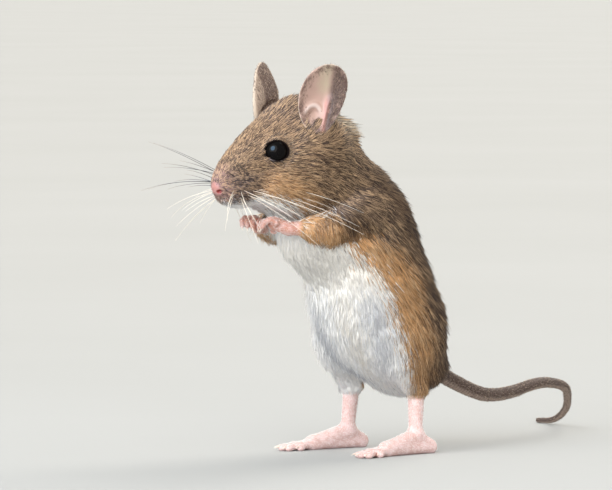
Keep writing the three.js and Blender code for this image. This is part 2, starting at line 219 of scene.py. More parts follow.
# %% Guides for the coat
LIE = {
    # name: (place, way that the hair runs, length)
    "nose bridge": ([40.0, 0, 61.6], [-1, 0, 0.4], 0.8),
    "muzzle": ([39.0, 3.0, 58.5], [-1, 0.3, -0.1], 0.95),
    "lip": ([38.5, 2.4, 55.6], [-1, 0.1, -0.45], 1.0),
    "forehead": ([31.5, 0, 70.5], [-0.85, 0, 0.5], 1.4),
    "brow": ([31.5, 5.2, 68.6], [-0.85, 0.15, 0.45], 1.2),
    "crown": ([22.0, 0, 76.0], [-1, 0, 0.0], 2.0),
    "crown side": ([19.5, 5.5, 75.5], [-0.95, 0.15, 0.25], 2.4),
    "ear front": ([25.8, 7.6, 69.8], [-0.8, 0.2, 0.4], 2.0),
    "ear hollow": ([22.5, 9.8, 71.0], [-0.35, 0.25, 0.9], 1.8),
    "cheek": ([32.0, 6.5, 60.5], [-0.95, 0.25, -0.2], 1.8),
    "jaw": ([28.0, 8.0, 56.5], [-0.9, 0.1, -0.35], 2.5),
    "temple": ([24.0, 9.5, 63.5], [-0.95, 0.1, -0.3], 2.4),
    "ear back": ([16.0, 7.0, 71.5], [-0.85, 0.1, 0.0], 3.8),
    "chin": ([36.0, 0, 53.8], [-1, 0, -0.15], 0.8),
    "throat": ([29.0, 0, 51.0], [-0.75, 0, -0.6], 1.8),
    "nape": ([11.0, 0, 69.0], [-0.75, 0, -0.65], 2.8),
    "neck": ([15.0, 10.0, 60.0], [-0.8, 0.1, -0.55], 2.6),
    "breast": ([24.5, 0, 44.5], [-0.45, 0, -0.9], 2.8),
    "shoulder": ([10.0, 12.0, 51.0], [-0.7, 0.05, -0.7], 3.2),
    "sleeve": ([21.0, 9.5, 48.0], [-0.05, 0.1, -1], 2.6),
    "ribs": ([14.0, 10.5, 40.0], [-0.45, 0.1, -0.9], 3.2),
    "belly": ([15.5, 3.0, 31.0], [-0.1, 0, -1], 3.4),
    "flank": ([2.5, 13.5, 38.0], [-0.5, 0.05, -0.85], 3.7),
    "loin": ([1.0, 13.8, 27.0], [-0.25, 0, -1], 3.7),
    "back": ([-8.0, 3.0, 42.0], [-0.3, 0, -1], 4.0),
    "rump": ([-12.0, 4.0, 25.0], [-0.25, -0.1, -1], 3.8),
    "tail root": ([-9.5, 0, 17.5], [-0.9, 0, -0.45], 2.0),
    "haunch": ([2.0, 13.5, 18.0], [0, -0.05, -1], 3.0),
    "groin": ([5.0, 2.0, 14.0], [-0.4, 0.1, -0.9], 2.4),
    "shank": ([0.0, 11.0, 11.0], [0, 0, -1], 1.0),
}
GUIDE_REACH = 2.0

guides = []
for at, way, length in LIE.values():
    for side in BOTH:
        guides.append((mirrored(at, side), mirrored(way, side), length))
guide_at = np.array([at for at, way, length in guides])
guide_way = np.array([way for at, way, length in guides])
guide_length = np.array([length for at, way, length in guides])


def guided(p, values):
    """The guides' values at the points p, each guide weighing less with the fourth power of its distance."""
    distance = ((p[:, None] - guide_at) ** 2).sum(2) + GUIDE_REACH ** 2
    weight = 1 / distance ** 2
    return weight @ values / (weight.sum(1)[:, None] if values.ndim > 1 else weight.sum(1))


print(len(LIE), "guides, hair", guide_length.min(), "to", guide_length.max(), "mm long")

# %% [markdown]
# ## The body under the coat
#
# The plain solids reach the tips of the hair. The same masses come back here, and the skin lies inside them
# by the coat's depth: the share of a hair's length that it stands away from the body, as it leans back. The
# right haunch stands a little ahead of the left one, because the right foot is the forward one.

# %% Body masses
COAT_RISE = 0.37
HAUNCH_STEP = 1.5
TRUNK_MASSES = {
    # name: (middle, half sizes, lean in degrees)
    "loins": ([-2.6, 0, 25.6], [11.0, 12.2, 11.4], 0),
    "seat": ([-6.4, 0, 18.2], [6.8, 10.4, 6.4], 0),
    "belly": ([2.7, 0, 32.4], [13.5, 13.8, 14.6], 6),
    "ribs": ([5.8, 0, 42.5], [12.7, 12.4, 14.0], 22),
    "breast": ([19.0, 0, 46.5], [6.5, 7.5, 8.5], 45),
    "shoulders": ([8.4, 0, 51.1], [11.3, 11.6, 12.8], 38),
    "neck": ([17.0, 0, 58.2], [10.1, 10.2, 11.4], 49),
    "skull": ([21.5, 0, 65.6], [10.9, 9.8, 11.3], 16),
}
FACE_MASSES = {
    "brow": ([32.3, 0, 63.5], [8.7, 6.2, 5.9], 24),
    "chin": ([35.8, 0, 55.8], [4.4, 2.7, 2.3], 10),
}
FACE_PAIRS = {
    "cheek": ([27.0, 4.2, 59.3], [8.0, 5.6, 6.4], 18),
    "lip": ([38.8, 1.7, 57.0], [3.2, 2.3, 2.2], 20),
    "ear root": ([22.0, 7.5, 67.1], [4.6, 3.6, 4.1], 0),
}
SHOULDER, ELBOW = [12.0, 9.0, 52.4], [21.2, 9.6, 49.0]


def hind(point, side):
    """A point of a hind leg. The right leg stands a step ahead of the left one."""
    return mirrored(point, side) - [HAUNCH_STEP * side, 0, 0]


torso = blended(6, *[ellipsoid(*mass) for mass in TRUNK_MASSES.values()])
face = blended(
    3,
    limb([30.5, 0, 63.0], [41.4, 0, 58.6], (6.4, 2.8)),
    ellipsoid(*FACE_MASSES["brow"]),
    limb([33.2, 0, 63.9], [39.2, 0, 60.5], (4.0, 3.1)),
    ellipsoid(*FACE_MASSES["chin"]),
    *[ellipsoid(mirrored(at, side), radii, lean) for at, radii, lean in FACE_PAIRS.values() for side in BOTH],
)
body = blended(
    3,
    blended(6, torso, face),
    *[ellipsoid(hind([1.7, 7.2, 25.0], side), [8.7, 6.2, 8.6], -26) for side in BOTH],
    *[limb(hind([2.0, 8.0, 21.0], side), hind([-0.4, 9.6, 14.8], side), (4.8, 1.9)) for side in BOTH],
    *[limb(mirrored(SHOULDER, side), mirrored(ELBOW, side), (4.4, 3.0)) for side in BOTH],
)
print("masses:", *TRUNK_MASSES, *FACE_MASSES, *FACE_PAIRS)

# %% [markdown]
# ## Arms and hands
#
# Arms, hands, legs and feet are chains of limbs: lines with a radius at each end. Four fingers hang from the
# knuckles of each hand and bend down and back, as they do when the hands are held together. The thumb is only
# a small pad.

# %% Arms and hands
WRIST, KNUCKLE = [28.7, 5.4, 48.9], [31.2, 3.7, 50.0]
PALM_DOWN = [0.25, 0, -1]
FINGERS, FINGER_STEP, FINGER_RADIUS = 4, 1.1, 0.58
FINGER_LENGTHS = (1.5, 1.5, 1.3)
FINGER_WAYS = ([0.0, 0, 0.25], [0.15, 0, -0.75], [-0.55, 0, -1.3])
KNUCKLE_ARC, FINGER_FAN, FINGER_SHORTER = 0.15, 0.06, 0.09
ARM_BOX = ([15, -1, 41], [39, 16, 56])


def unit(v):
    return np.asarray(v, float) / np.linalg.norm(v)


def finger_bones(side):
    """The joints of each finger, from its knuckle to its tip. Each bone turns further down than the last."""
    wrist, knuckle = mirrored(WRIST, side), mirrored(KNUCKLE, side)
    ahead = unit(knuckle - wrist)
    across = unit(np.cross(PALM_DOWN, ahead))
    bones = []
    for finger in range(FINGERS):
        spread = finger - (FINGERS - 1) / 2
        joints = [knuckle + across * spread * FINGER_STEP - ahead * KNUCKLE_ARC * abs(spread)]
        for length, bend in zip(FINGER_LENGTHS, FINGER_WAYS):
            way = unit(ahead + bend + across * spread * FINGER_FAN)
            joints.append(joints[-1] + way * length * (1 - FINGER_SHORTER * abs(spread)))
        bones.append(joints)
    return bones


def arm_field(side):
    wrist, knuckle = mirrored(WRIST, side), mirrored(KNUCKLE, side)
    arm = blended(
        0.8,
        limb(mirrored(ELBOW, side), wrist, (2.6, 1.3)),
        limb(wrist, knuckle, (1.35, 1.5)),
    )
    fingers = []
    for root, middle, last, tip in finger_bones(side):
        fingers.append(blended(
            0.25,
            limb(root, middle, (FINGER_RADIUS * 1.12, FINGER_RADIUS)),
            limb(middle, last, (FINGER_RADIUS * 1.04, FINGER_RADIUS * 0.88)),
            limb(last, tip, (FINGER_RADIUS * 0.9, FINGER_RADIUS * 0.86)),
        ))
    thumb = ellipsoid(wrist + (knuckle - wrist) * 0.8 + [0, -1.2 * side, -1.5], [0.9, 0.6, 0.6])
    hand = blended(0.1, *fingers, thumb)
    return boxed(ARM_BOX, lambda p: joined(0.6, arm(p), hand(p)), side)


arms = [arm_field(side) for side in BOTH]
print("finger tips of the left hand:", [bones[-1].round(1).tolist() for bones in finger_bones(1)])

# %% [markdown]
# ## Legs and feet
#
# A mouse stands on its whole long foot, from the heel to the toes, and its heel is the joint that looks like
# a knee bent backwards. Five toes spread from the ball of each foot, and each rests on a pad under its tip.

# %% Legs and feet
KNEE, HOCK = [2.2, 8.0, 21.0], [-0.4, 9.6, 13.5]
ANKLE, HEEL, BALL = [0.2, 10.2, 3.9], [-3.4, 10.3, 1.35], [8.8, 11.2, 1.4]
FOOT_TURN, TOE_SPREAD = 8, 13
TOE_LENGTHS = (4.6, 7.0, 7.6, 7.0, 4.2)
TOE_ROOT, TOE_JOINT = 0.6, 0.6
TOE_HEIGHTS = (1.0, 1.05, 0.62)
LEG_BOX = ([-9, -1, -3], [22, 21, 26])


def toe_bones(side):
    """Root, joint and tip of each toe. The joint stands a little higher, as a toe rests on its tip's pad."""
    floor = hind(BALL, side) * [1, 1, 0]
    bones = []
    for toe, length in enumerate(TOE_LENGTHS):
        turn = math.radians(FOOT_TURN + (toe - 2) * TOE_SPREAD)
        ahead = np.array([math.cos(turn), math.sin(turn) * side, 0])
        distances = (TOE_ROOT, length * TOE_JOINT, length)
        bones.append([floor + ahead * distance + [0, 0, height]
                      for distance, height in zip(distances, TOE_HEIGHTS)])
    return bones


def leg_field(side):
    knee, hock, ankle, heel, ball = [hind(point, side) for point in (KNEE, HOCK, ANKLE, HEEL, BALL)]
    leg = blended(
        1.0,
        limb(knee, hock, (3.4, 1.8)),
        limb(hock, ankle, (1.8, 1.4)),
        limb(ankle, ball, (1.6, 1.5)),
        limb(ankle, heel, (1.6, 1.45)),
        limb(heel, ball, (1.45, 1.5)),
    )
    toes = []
    for root, joint, tip in toe_bones(side):
        toes.append(limb(root, joint, (0.95, 0.72)))
        toes.append(limb(joint, tip, (0.68, 0.6)))
        toes.append(ellipsoid(tip - [0.25, 0, 0.05], [0.85, 0.72, 0.6]))
    foot = blended(0.4, *toes)
    return boxed(LEG_BOX, lambda p: joined(0.8, leg(p), foot(p)), side)


legs = [leg_field(side) for side in BOTH]
toe_reach = max(tip[0] for root, joint, tip in toe_bones(1)) - hind(HEEL, 1)[0]
print("the longest toe ends", round(toe_reach, 1), "mm ahead of the heel joint")

# %% [markdown]
# ## Tail
#
# The tail is a chain of short limbs too, along a smooth curve through the places where it bends. A chain is
# quick to ask how near a point is, and it also says how far along the tail the point is, which the rings on
# the tail's skin need.

# %% Tail
TAIL_ROUTE = np.array([
    [-7, 0, 19.8], [-13, 0, 17.4], [-19, 0, 14.2], [-26, 0, 11.3], [-31, -0.5, 10.6], [-37, -1.5, 11.0],
    [-43, -3, 12.0], [-49, -5, 12.2], [-57, -9, 10.8], [-63, -15, 8.0], [-68, -22, 4.2], [-71, -30, 1.2],
    [-72, -37, 0.5],
])
TAIL_STEPS = 5
TAIL_RADII = (1.85, 0.55)
TAIL_TAPER = 0.8
TAIL_BOX = ([-78, -42, -3], [-3, 6, 26])


def smooth_route(points, steps):
    """A Catmull-Rom curve through the points, with the same number of steps between each two."""
    ends = np.vstack([2 * points[0] - points[1], points, 2 * points[-1] - points[-2]])
    out = []
    for a, b, c, d in zip(ends, ends[1:], ends[2:], ends[3:]):
        for t in np.arange(steps) / steps:
            out.append(0.5 * (2 * b + (c - a) * t + (2 * a - 5 * b + 4 * c - d) * t ** 2
                              + (3 * b - a - 3 * c + d) * t ** 3))
    return np.array(out + [points[-1]])


def distances_along(route):
    """How far along a route each of its points is."""
    return np.concatenate([[0], np.cumsum(np.linalg.norm(np.diff(route, axis=0), axis=1))])


tail_route = smooth_route(TAIL_ROUTE, TAIL_STEPS)
tail_run = distances_along(tail_route)
tail_radius = TAIL_RADII[0] + (TAIL_RADII[1] - TAIL_RADII[0]) * (tail_run / tail_run[-1]) ** TAIL_TAPER


def tail_chain(p):
    """Distance to the tail's surface, and how far along the tail the nearest place is, in millimetres."""
    value, run = np.full(len(p), OUTSIDE), np.zeros(len(p))
    for i in range(len(tail_route) - 1):
        along = tail_route[i + 1] - tail_route[i]
        offset = p - tail_route[i]
        t = np.clip(offset @ along / (along @ along), 0, 1)
        radius = tail_radius[i] + (tail_radius[i + 1] - tail_radius[i]) * t
        here = np.linalg.norm(offset - t[:, None] * along, axis=1) - radius
        closer = here < value
        value = np.where(closer, here, value)
        run = np.where(closer, tail_run[i] + t * np.linalg.norm(along), run)
    return value, run


tail_field = boxed(TAIL_BOX, lambda p: tail_chain(p)[0])
print("tail", round(tail_run[-1]), "mm long")

# %% [markdown]
# ## Ears
#
# A wood mouse has large round ears, thin as paper and hollow like a cup. In the ear's own directions, across
# it, up it and out of it, the ear is a bent sheet: a height over a round outline. A ridge and a fold stand in
# the cup above the ear's opening, and the rim rolls over a little.

# %% Ears
EAR_AT = [22.2, 8.3, 70.6]
EAR_HEIGHT, EAR_WIDTH, EAR_SINK = 14.8, 11.4, 1.3
EAR_TAPERS = (0.0, 0.24)
EAR_DROP = 1.08
EAR_HOLLOW, EAR_RIM = (4.6, 2.2), (3.4, 1.6)
EAR_FACING, EAR_SPLAY = math.radians(36), math.radians(12)
EAR_WALLS, SHEET_LEAN = (0.5, 0.27), 0.85
OUTLINE_AT, OUTLINE_MM = 0.985, 5.6
EAR_BOX = ([10, 1, 64], [34, 19, 88])
RIDGE_AT, RIDGE_RADIUS = (-0.38, -0.5), 0.29
RIDGE_HEIGHT, RIDGE_WIDTH = 0.8, 0.1
FOLD_HEIGHT, FOLD_WIDTH = 1.0, 0.14


def ear_axes(side):
    """The ear's own directions: across it, up it and out of it."""
    across = np.array([-math.cos(EAR_FACING), side * math.sin(EAR_FACING), 0])
    out = np.array([math.sin(EAR_FACING), side * math.cos(EAR_FACING), 0])
    up = np.array([0, side * math.sin(EAR_SPLAY), math.cos(EAR_SPLAY)])
    return across, up, out


def ear_place(p, side):
    """Across and up the ear, the two together (1 at the outline), and the height over the ear's sheet."""
    across, up, out = ear_axes(side)
    centre = mirrored(EAR_AT, side) + up * (EAR_HEIGHT / 2 - EAR_SINK)
    a, b, c = ((p - centre) @ np.linalg.inv(np.array([across, up, out]))).T
    h = b / (EAR_HEIGHT / 2) / np.where(b < 0, EAR_DROP, 1)
    taper = np.where(a < 0, *EAR_TAPERS)
    w = a / (EAR_WIDTH / 2) / (1 - taper * (1 - np.clip(h, -1, 1)))
    reach = np.hypot(h, w)
    rise = np.clip((h + 1) / 2, 0, 1)
    hollow = (1 - np.minimum(reach, 1.15) ** 2) * (EAR_HOLLOW[0] + (EAR_HOLLOW[1] - EAR_HOLLOW[0]) * rise)
    sheet = EAR_RIM[0] + (EAR_RIM[1] - EAR_RIM[0]) * rise - hollow
    from_ridge = np.hypot(w - RIDGE_AT[0], h - RIDGE_AT[1]) - RIDGE_RADIUS
    ridge = RIDGE_HEIGHT * np.exp(-(from_ridge / RIDGE_WIDTH) ** 2) * smooth(-0.65, -0.3, h)
    fold = FOLD_HEIGHT * np.exp(-((w - 0.2 - 0.2 * h) / FOLD_WIDTH) ** 2) * smooth(0.15, -0.3, h)
    return w, h, reach, c - sheet - ridge - fold


def ear_field(side):
    def field(p):
        w, h, reach, height = ear_place(p, side)
        wall = EAR_WALLS[0] + (EAR_WALLS[1] - EAR_WALLS[0]) * np.clip((h + 1) / 1.2, 0, 1)
        return carved(0.3, np.abs(height) * SHEET_LEAN - wall, -(reach - OUTLINE_AT) * OUTLINE_MM)
    return boxed(EAR_BOX, field, side)


ears = [ear_field(side) for side in BOTH]
print("ears", EAR_HEIGHT, "mm high and", EAR_WIDTH, "mm wide")

# %% [markdown]
# ## Lids, nose and mouth
#
# The eye stands out of the head like a bead, and the lids hold it in a narrow ring. The skin gets a slightly
# larger ball round each eyeball and then an opening, longer than it is high and pointed at the front.
# Nostrils and the mouth are carved as short grooves.

# %% Places at the eye
EYE_RADIUS = 2.65
LID = 0.24
LOOK = unit([0.34, 0.93, 0.14])
LID_PLANE = 0.8
EYE_FORWARD = 0.15
EYE_HALF_LENGTH, EYE_HALF_HEIGHT = 2.34, 1.98
CORNER_AHEAD, CORNER_DOWN = 2.2, 0.8
CORNER_HALF_LENGTH, CORNER_HALF_HEIGHT = 1.2, 0.55


def eye_place(p, side):
    """Ahead, up and out from the eye's middle, in millimetres."""
    look = mirrored(LOOK, side)
    ahead = unit(np.cross([0, 0, 1], look)) * -side
    ahead = unit(ahead - look * (ahead @ look))
    up = np.cross(ahead, look) * side
    q = p - mirrored(EYE_AT, side)
    return q @ ahead - EYE_FORWARD, q @ up, q @ look


def eye_opening(p, side):
    """An oval with a small pointed corner at its front, cut into the ball of skin from outside."""
    ahead, up, out = eye_place(p, side)
    oval = (np.hypot(ahead / EYE_HALF_LENGTH, up / EYE_HALF_HEIGHT) - 1) * EYE_HALF_HEIGHT
    corner = np.hypot((ahead - CORNER_AHEAD) / CORNER_HALF_LENGTH, (up + CORNER_DOWN) / CORNER_HALF_HEIGHT)
    return np.maximum(joined(0.6, oval, (corner - 1) * CORNER_HALF_HEIGHT), LID_PLANE - out)


print("the opening is", 2 * EYE_HALF_LENGTH, "by", 2 * EYE_HALF_HEIGHT, "mm")

# %% The whole skin as one field
FACE_FROM = 27
NOSE = ellipsoid([42.5, 0, 57.9], [2.0, 1.7, 1.75], 20)
NOSTRILS = [ellipsoid([43.7, 1.2 * side, 56.9], [0.8, 0.5, 0.42], 25) for side in BOTH]
MOUTH = [limb([41.2, 0.2 * side, 55.6], [36.0, 2.9 * side, 55.2], (0.16, 0.22)) for side in BOTH]
PHILTRUM = limb([44.5, 0, 57.4], [42.0, 0, 55.6], (0.16, 0.2))


def lips_and_lids(p, value):
    value = joined(0.9, value, NOSE(p))
    for side in BOTH:
        ball = ellipsoid(mirrored(EYE_AT, side), [EYE_RADIUS + LID] * 3)
        value = joined(0.9, value, ball(p))
        value = carved(0.25, value, eye_opening(p, side))
    for hole in (*NOSTRILS, *MOUTH, PHILTRUM):
        value = carved(0.2, value, hole(p))
    return value


def skin_field(p):
    """The body without its coat, with limbs, tail and ears, a face, and flat soles on the floor."""
    value = body(p) + COAT_RISE * guided(p, guide_length)
    value = joined(2.0, value, tail_field(p))
    for part in (*arms, *legs, *ears):
        value = joined(1.0, value, part(p))
    front = p[:, 0] > FACE_FROM
    value[front] = lips_and_lids(p[front], value[front])
    return np.maximum(value, -p[:, 2])


print("at the crown's guide the field is", skin_field(np.array([LIE["crown"][0]], float)).round(2))

# %% [markdown]
# ## From a field to a mesh
#
# Surface nets turn a field into quads: a grid of points is asked whether it is inside, each cell that the
# surface crosses gets one corner, and corners of neighbouring cells are joined. The grid is finer round the
# head and the feet than elsewhere, because a face needs it and a back doesn't.

# %% Grid
GRID_X = ((-75.0, 16.0, 0.68), (16.0, 28.0, 0.38), (28.0, 46.4, 0.22))
GRID_Y = ((-41.0, -16.0, 0.6), (-16.0, -9.0, 0.3), (-9.0, 9.0, 0.25), (9.0, 17.0, 0.3))
GRID_Z = ((-1.2, 6.0, 0.3), (6.0, 46.0, 0.72), (46.0, 53.0, 0.28), (53.0, 69.0, 0.215), (69.0, 86.0, 0.28))
BLOCK = 4


def grid_lines(stretches):
    """Lines at each stretch's own step, with a few more at the end, so that they part into whole blocks."""
    lines = np.concatenate([np.arange(low, high, step) for low, high, step in stretches])
    spare = -len(lines) % BLOCK
    step = stretches[-1][2]
    return np.concatenate([lines, lines[-1] + step * np.arange(1, spare + 1)])


lines = [grid_lines(stretches) for stretches in (GRID_X, GRID_Y, GRID_Z)]
print("grid", [len(line) for line in lines])

# %% [markdown]
# ## Asking the field only where it matters
#
# Most of the grid is far inside or far outside the animal. The field is asked once for the middle of each
# block of four by four by four points, and only blocks that the surface may reach are worked out in full.

# %% Sampling
CHUNK = 60000
HALF_BLOCK, BLOCK_MARGIN = 0.75, 1.6


def in_chunks(work, p):
    """Works on some points at a time, which keeps the memory small."""
    return np.concatenate([work(p[i:i + CHUNK]) for i in range(0, len(p), CHUNK)])


def sampled(field, lines):
    """The field on the whole grid. Only blocks near the surface are worked out point by point."""
    blocks = [line.reshape(-1, BLOCK) for line in lines]
    middles = np.stack(np.meshgrid(*[b.mean(1) for b in blocks], indexing="ij"), -1)
    halves = np.stack(np.meshgrid(*[np.ptp(b, axis=1) * HALF_BLOCK for b in blocks], indexing="ij"), -1)
    rough = in_chunks(field, middles.reshape(-1, 3)).reshape(middles.shape[:3])
    near = np.abs(rough) < np.linalg.norm(halves, axis=-1) * BLOCK_MARGIN
    values = np.repeat(np.sign(rough)[..., None], BLOCK ** 3, -1).astype(np.float32)
    i, j, k = np.nonzero(near)
    x, y, z = blocks[0][i], blocks[1][j], blocks[2][k]
    shape = (len(i), BLOCK, BLOCK, BLOCK)
    p = np.stack([
        np.broadcast_to(x[:, :, None, None], shape),
        np.broadcast_to(y[:, None, :, None], shape),
        np.broadcast_to(z[:, None, None, :], shape),
    ], -1)
    values[near] = in_chunks(field, p.reshape(-1, 3)).reshape(len(i), -1)
    counts = rough.shape
    values = values.reshape(*counts, BLOCK, BLOCK, BLOCK).transpose(0, 3, 1, 4, 2, 5)
    return values.reshape([count * BLOCK for count in counts])


grid_values = sampled(skin_field, lines)
print(int((grid_values < 0).sum()), "of", grid_values.size, "grid points lie inside the mouse")

# %% [markdown]
# ## Corners and quads
#
# A cell's corner is the mean of the places where the surface crosses the cell's edges. Each edge of the grid
# that the surface crosses is shared by four cells, and their corners make one quad.

# %% Surface nets
def cell_corners(values, lines):
    """The corners' places, and for each cell its corner's number or -1."""
    inside = values < 0
    corners = list(itertools.product((0, 1), repeat=3))
    cells = [n - 1 for n in inside.shape]

    def shifted(i, j, k):
        return inside[i:i + cells[0], j:j + cells[1], k:k + cells[2]]

    count = sum(shifted(*corner).astype(np.int8) for corner in corners)
    active = (count > 0) & (count < 8)
    number = np.full(cells, -1, np.int32)
    number[active] = np.arange(active.sum())
    where = np.stack(np.nonzero(active), 1)
    total, crossings = np.zeros((len(where), 3)), np.zeros(len(where))
    for a, axis in itertools.product(corners, range(3)):
        if a[axis]:
            continue
        b = tuple(c + (n == axis) for n, c in enumerate(a))
        start, end = where + a, where + b
        va, vb = values[tuple(start.T)], values[tuple(end.T)]
        crossed = (va < 0) != (vb < 0)
        t = np.where(crossed, va / np.where(crossed, va - vb, 1), 0)
        at = [np.stack([lines[n][s[:, n]] for n in range(3)], 1) for s in (start, end)]
        total += np.where(crossed[:, None], at[0] + (at[1] - at[0]) * t[:, None], 0)
        crossings += crossed
    return total / crossings[:, None], number


def cell_quads(inside, number):
    """One quad round every grid edge with one end inside, turned to face out."""
    quads = []
    for axis in range(3):
        u, v = (axis + 1) % 3, (axis + 2) % 3
        low, high = [slice(None)] * 3, [slice(None)] * 3
        low[axis], high[axis] = slice(None, -1), slice(1, None)
        a, b = inside[tuple(low)], inside[tuple(high)]
        for sign, edges in ((1, a & ~b), (-1, ~a & b)):
            at = np.stack(np.nonzero(edges), 1)
            at = at[(at[:, u] > 0) & (at[:, v] > 0)]
            ring = []
            for du, dv in ((-1, -1), (0, -1), (0, 0), (-1, 0)):
                cell = at.copy()
                cell[:, u] += du
                cell[:, v] += dv
                ring.append(number[tuple(cell.T)])
            quads.append(np.stack(ring[::sign], 1))
    return np.concatenate(quads)


skin_points, cell_number = cell_corners(grid_values, lines)
skin_quads = cell_quads(grid_values < 0, cell_number)
print(len(skin_points), "corners,", len(skin_quads), "quads")

# %% [markdown]
# ## Sliding onto the surface
#
# The corners are only near the surface. Each now slides along the field's slope, as a ball rolls to the foot
# of a hill, until the field is zero there. Two rounds are enough.

# %% Settling
SKIN_ROUNDS, MOST_STEP = 2, 0.25
SLOPE_STEP, LEAST_SLOPE = 0.02, 0.2


def slope(field, p):
    offsets = np.eye(3) * SLOPE_STEP
    sides = [in_chunks(field, p + offset) - in_chunks(field, p - offset) for offset in offsets]
    return np.stack(sides, 1) / (2 * SLOPE_STEP)


for _ in range(SKIN_ROUNDS):
    way = slope(skin_field, skin_points)
    value = in_chunks(skin_field, skin_points)
    step = -value / np.maximum((way ** 2).sum(1), LEAST_SLOPE)
    skin_points = skin_points + way * np.clip(step, -MOST_STEP, MOST_STEP)[:, None]
left_over = np.abs(in_chunks(skin_field, skin_points)).mean()
print("the corners lie", left_over.round(5), "mm off the surface on average")

# %% [markdown]
# ## Which part of the animal a place belongs to
#
# Bare skin, ears and tail look different from the coat, yet the skin is one mesh. Each of its corners asks
# the part's fields how near they are, and keeps soft shares between 0 and 1 that the coat and the
# material both read.

# %% Shares of the parts
BEHIND_THE_EYE = 9.0


def nearest_part(p):
    """How far the body's, arms', legs', tail's and ears' own surfaces are from the points p."""
    coat = body(p) + COAT_RISE * guided(p, guide_length)
    arm = np.minimum(*[arm(p) for arm in arms])
    leg = np.minimum(*[leg(p) for leg in legs])
    ear = np.minimum(*[ear(p) for ear in ears])
    return coat, arm, leg, tail_field(p), ear


def part_shares(p):
    coat, arm, leg, tail, ear = nearest_part(p)
    forearm = np.subtract(WRIST, ELBOW)
    along_arm = (on_the_left(p) - ELBOW) @ forearm / (forearm @ forearm)
    hand = smooth(0.5, -0.5, arm - coat) * smooth(0.54, 0.88, along_arm) * (arm < 1)
    foot = smooth(0.8, -0.8, leg - coat) * smooth(15.0, 10.5, p[:, 2]) * (leg < 1)
    tail_share = smooth(0.3, -0.9, tail - coat) * (tail < 1)
    ear_share = smooth(0.35, -0.35, ear - coat) * (ear < 1)
    nose = smooth(0.5, -0.15, NOSE(p)) * smooth(40.8, 42.2, p[:, 0])
    return {"hand": hand, "foot": foot, "tail": tail_share, "ear": ear_share, "nose": nose}


def around_the_eye(p):
    """1 at the edge of the lids' opening, less within it and more outside it."""
    ahead, up, out = eye_place(on_the_left(p), 1)
    around = np.hypot(ahead / EYE_HALF_LENGTH, up / EYE_HALF_HEIGHT)
    return np.where(out > -1, around, BEHIND_THE_EYE)


shares = part_shares(skin_points)
print({name: int((share > 0.5).sum()) for name, share in shares.items()})

# %% [markdown]
# ## Ripples, bands and spots
#
# A mouse's markings are bands and spots whose borders are feathered, because hairs of two colours overlap
# there, and which waver a little. A sum of a few sine waves in seeded directions makes them waver.

# %% Ripples, bands and spots
def ripple(p, wave, seed, count=7):
    """A seeded sum of sine waves about `wave` millimetres long, between about -1 and 1."""
    draw = np.random.default_rng(seed)
    ways = draw.normal(size=(count, 3))
    radians_per_mm = 2 * math.pi / wave * draw.uniform(0.7, 1.4, (count, 1))
    ways *= radians_per_mm / np.linalg.norm(ways, axis=1, keepdims=True)
    return np.sin(p @ ways.T + draw.uniform(0, 2 * math.pi, count)).sum(1) / math.sqrt(count)


def band(x, rise, fall):
    """0, then 1 from the end of the rise to the start of the fall, then 0 again."""
    return smooth(*rise, x) * smooth(fall[1], fall[0], x)


def spot(p, at, radius, fade=1.0):
    """1 within a radius of a place and its mirror image, fading out over `fade` millimetres."""
    return smooth(radius + fade, radius - fade, np.linalg.norm(on_the_left(p) - at, axis=1))


def hump(x, middle, width):
    """1 in the middle and a smooth fall to both sides."""
    return np.exp(-((x - middle) / width) ** 2)


waver = ripple(skin_points, 7, 11)
print("a ripple runs from", waver.min().round(2), "to", waver.max().round(2))

# %% [markdown]
# ## Markings
#
# The mouse is brown above, ochre along the sides and the cheeks, and white below. The body's border is an
# angle around the body's own axis for each height, and the head's is a height for each place along the head.
# In the lines below, a pair of numbers is the stretch, in millimetres or degrees, over which a marking comes
# in: smooth(51, 47, z) is 0 at 51 mm above the floor and 1 at 47 mm. x is ahead, y to the left and z up.

# %% White and warm markings
BODY_AXIS = ([16, 24, 31, 42, 51, 59], [0, 0.2, 2.4, 6, 10, 16])
BELLY_EDGE = ([12, 22, 28, 33, 37, 41, 44, 47, 50], [92, 78, 71, 68, 70, 62, 52, 40, 30])
JAW_EDGE = ([24, 25.6, 27.9, 30.8, 34.2, 36.5, 39, 42], [48, 51.0, 53.3, 55.0, 56.0, 55.5, 54.7, 54.9])


def around_body(p, y):
    """The angle around the body's axis in degrees, 0 on the belly."""
    return np.degrees(np.arctan2(y, p[:, 0] - np.interp(p[:, 2], *BODY_AXIS)))


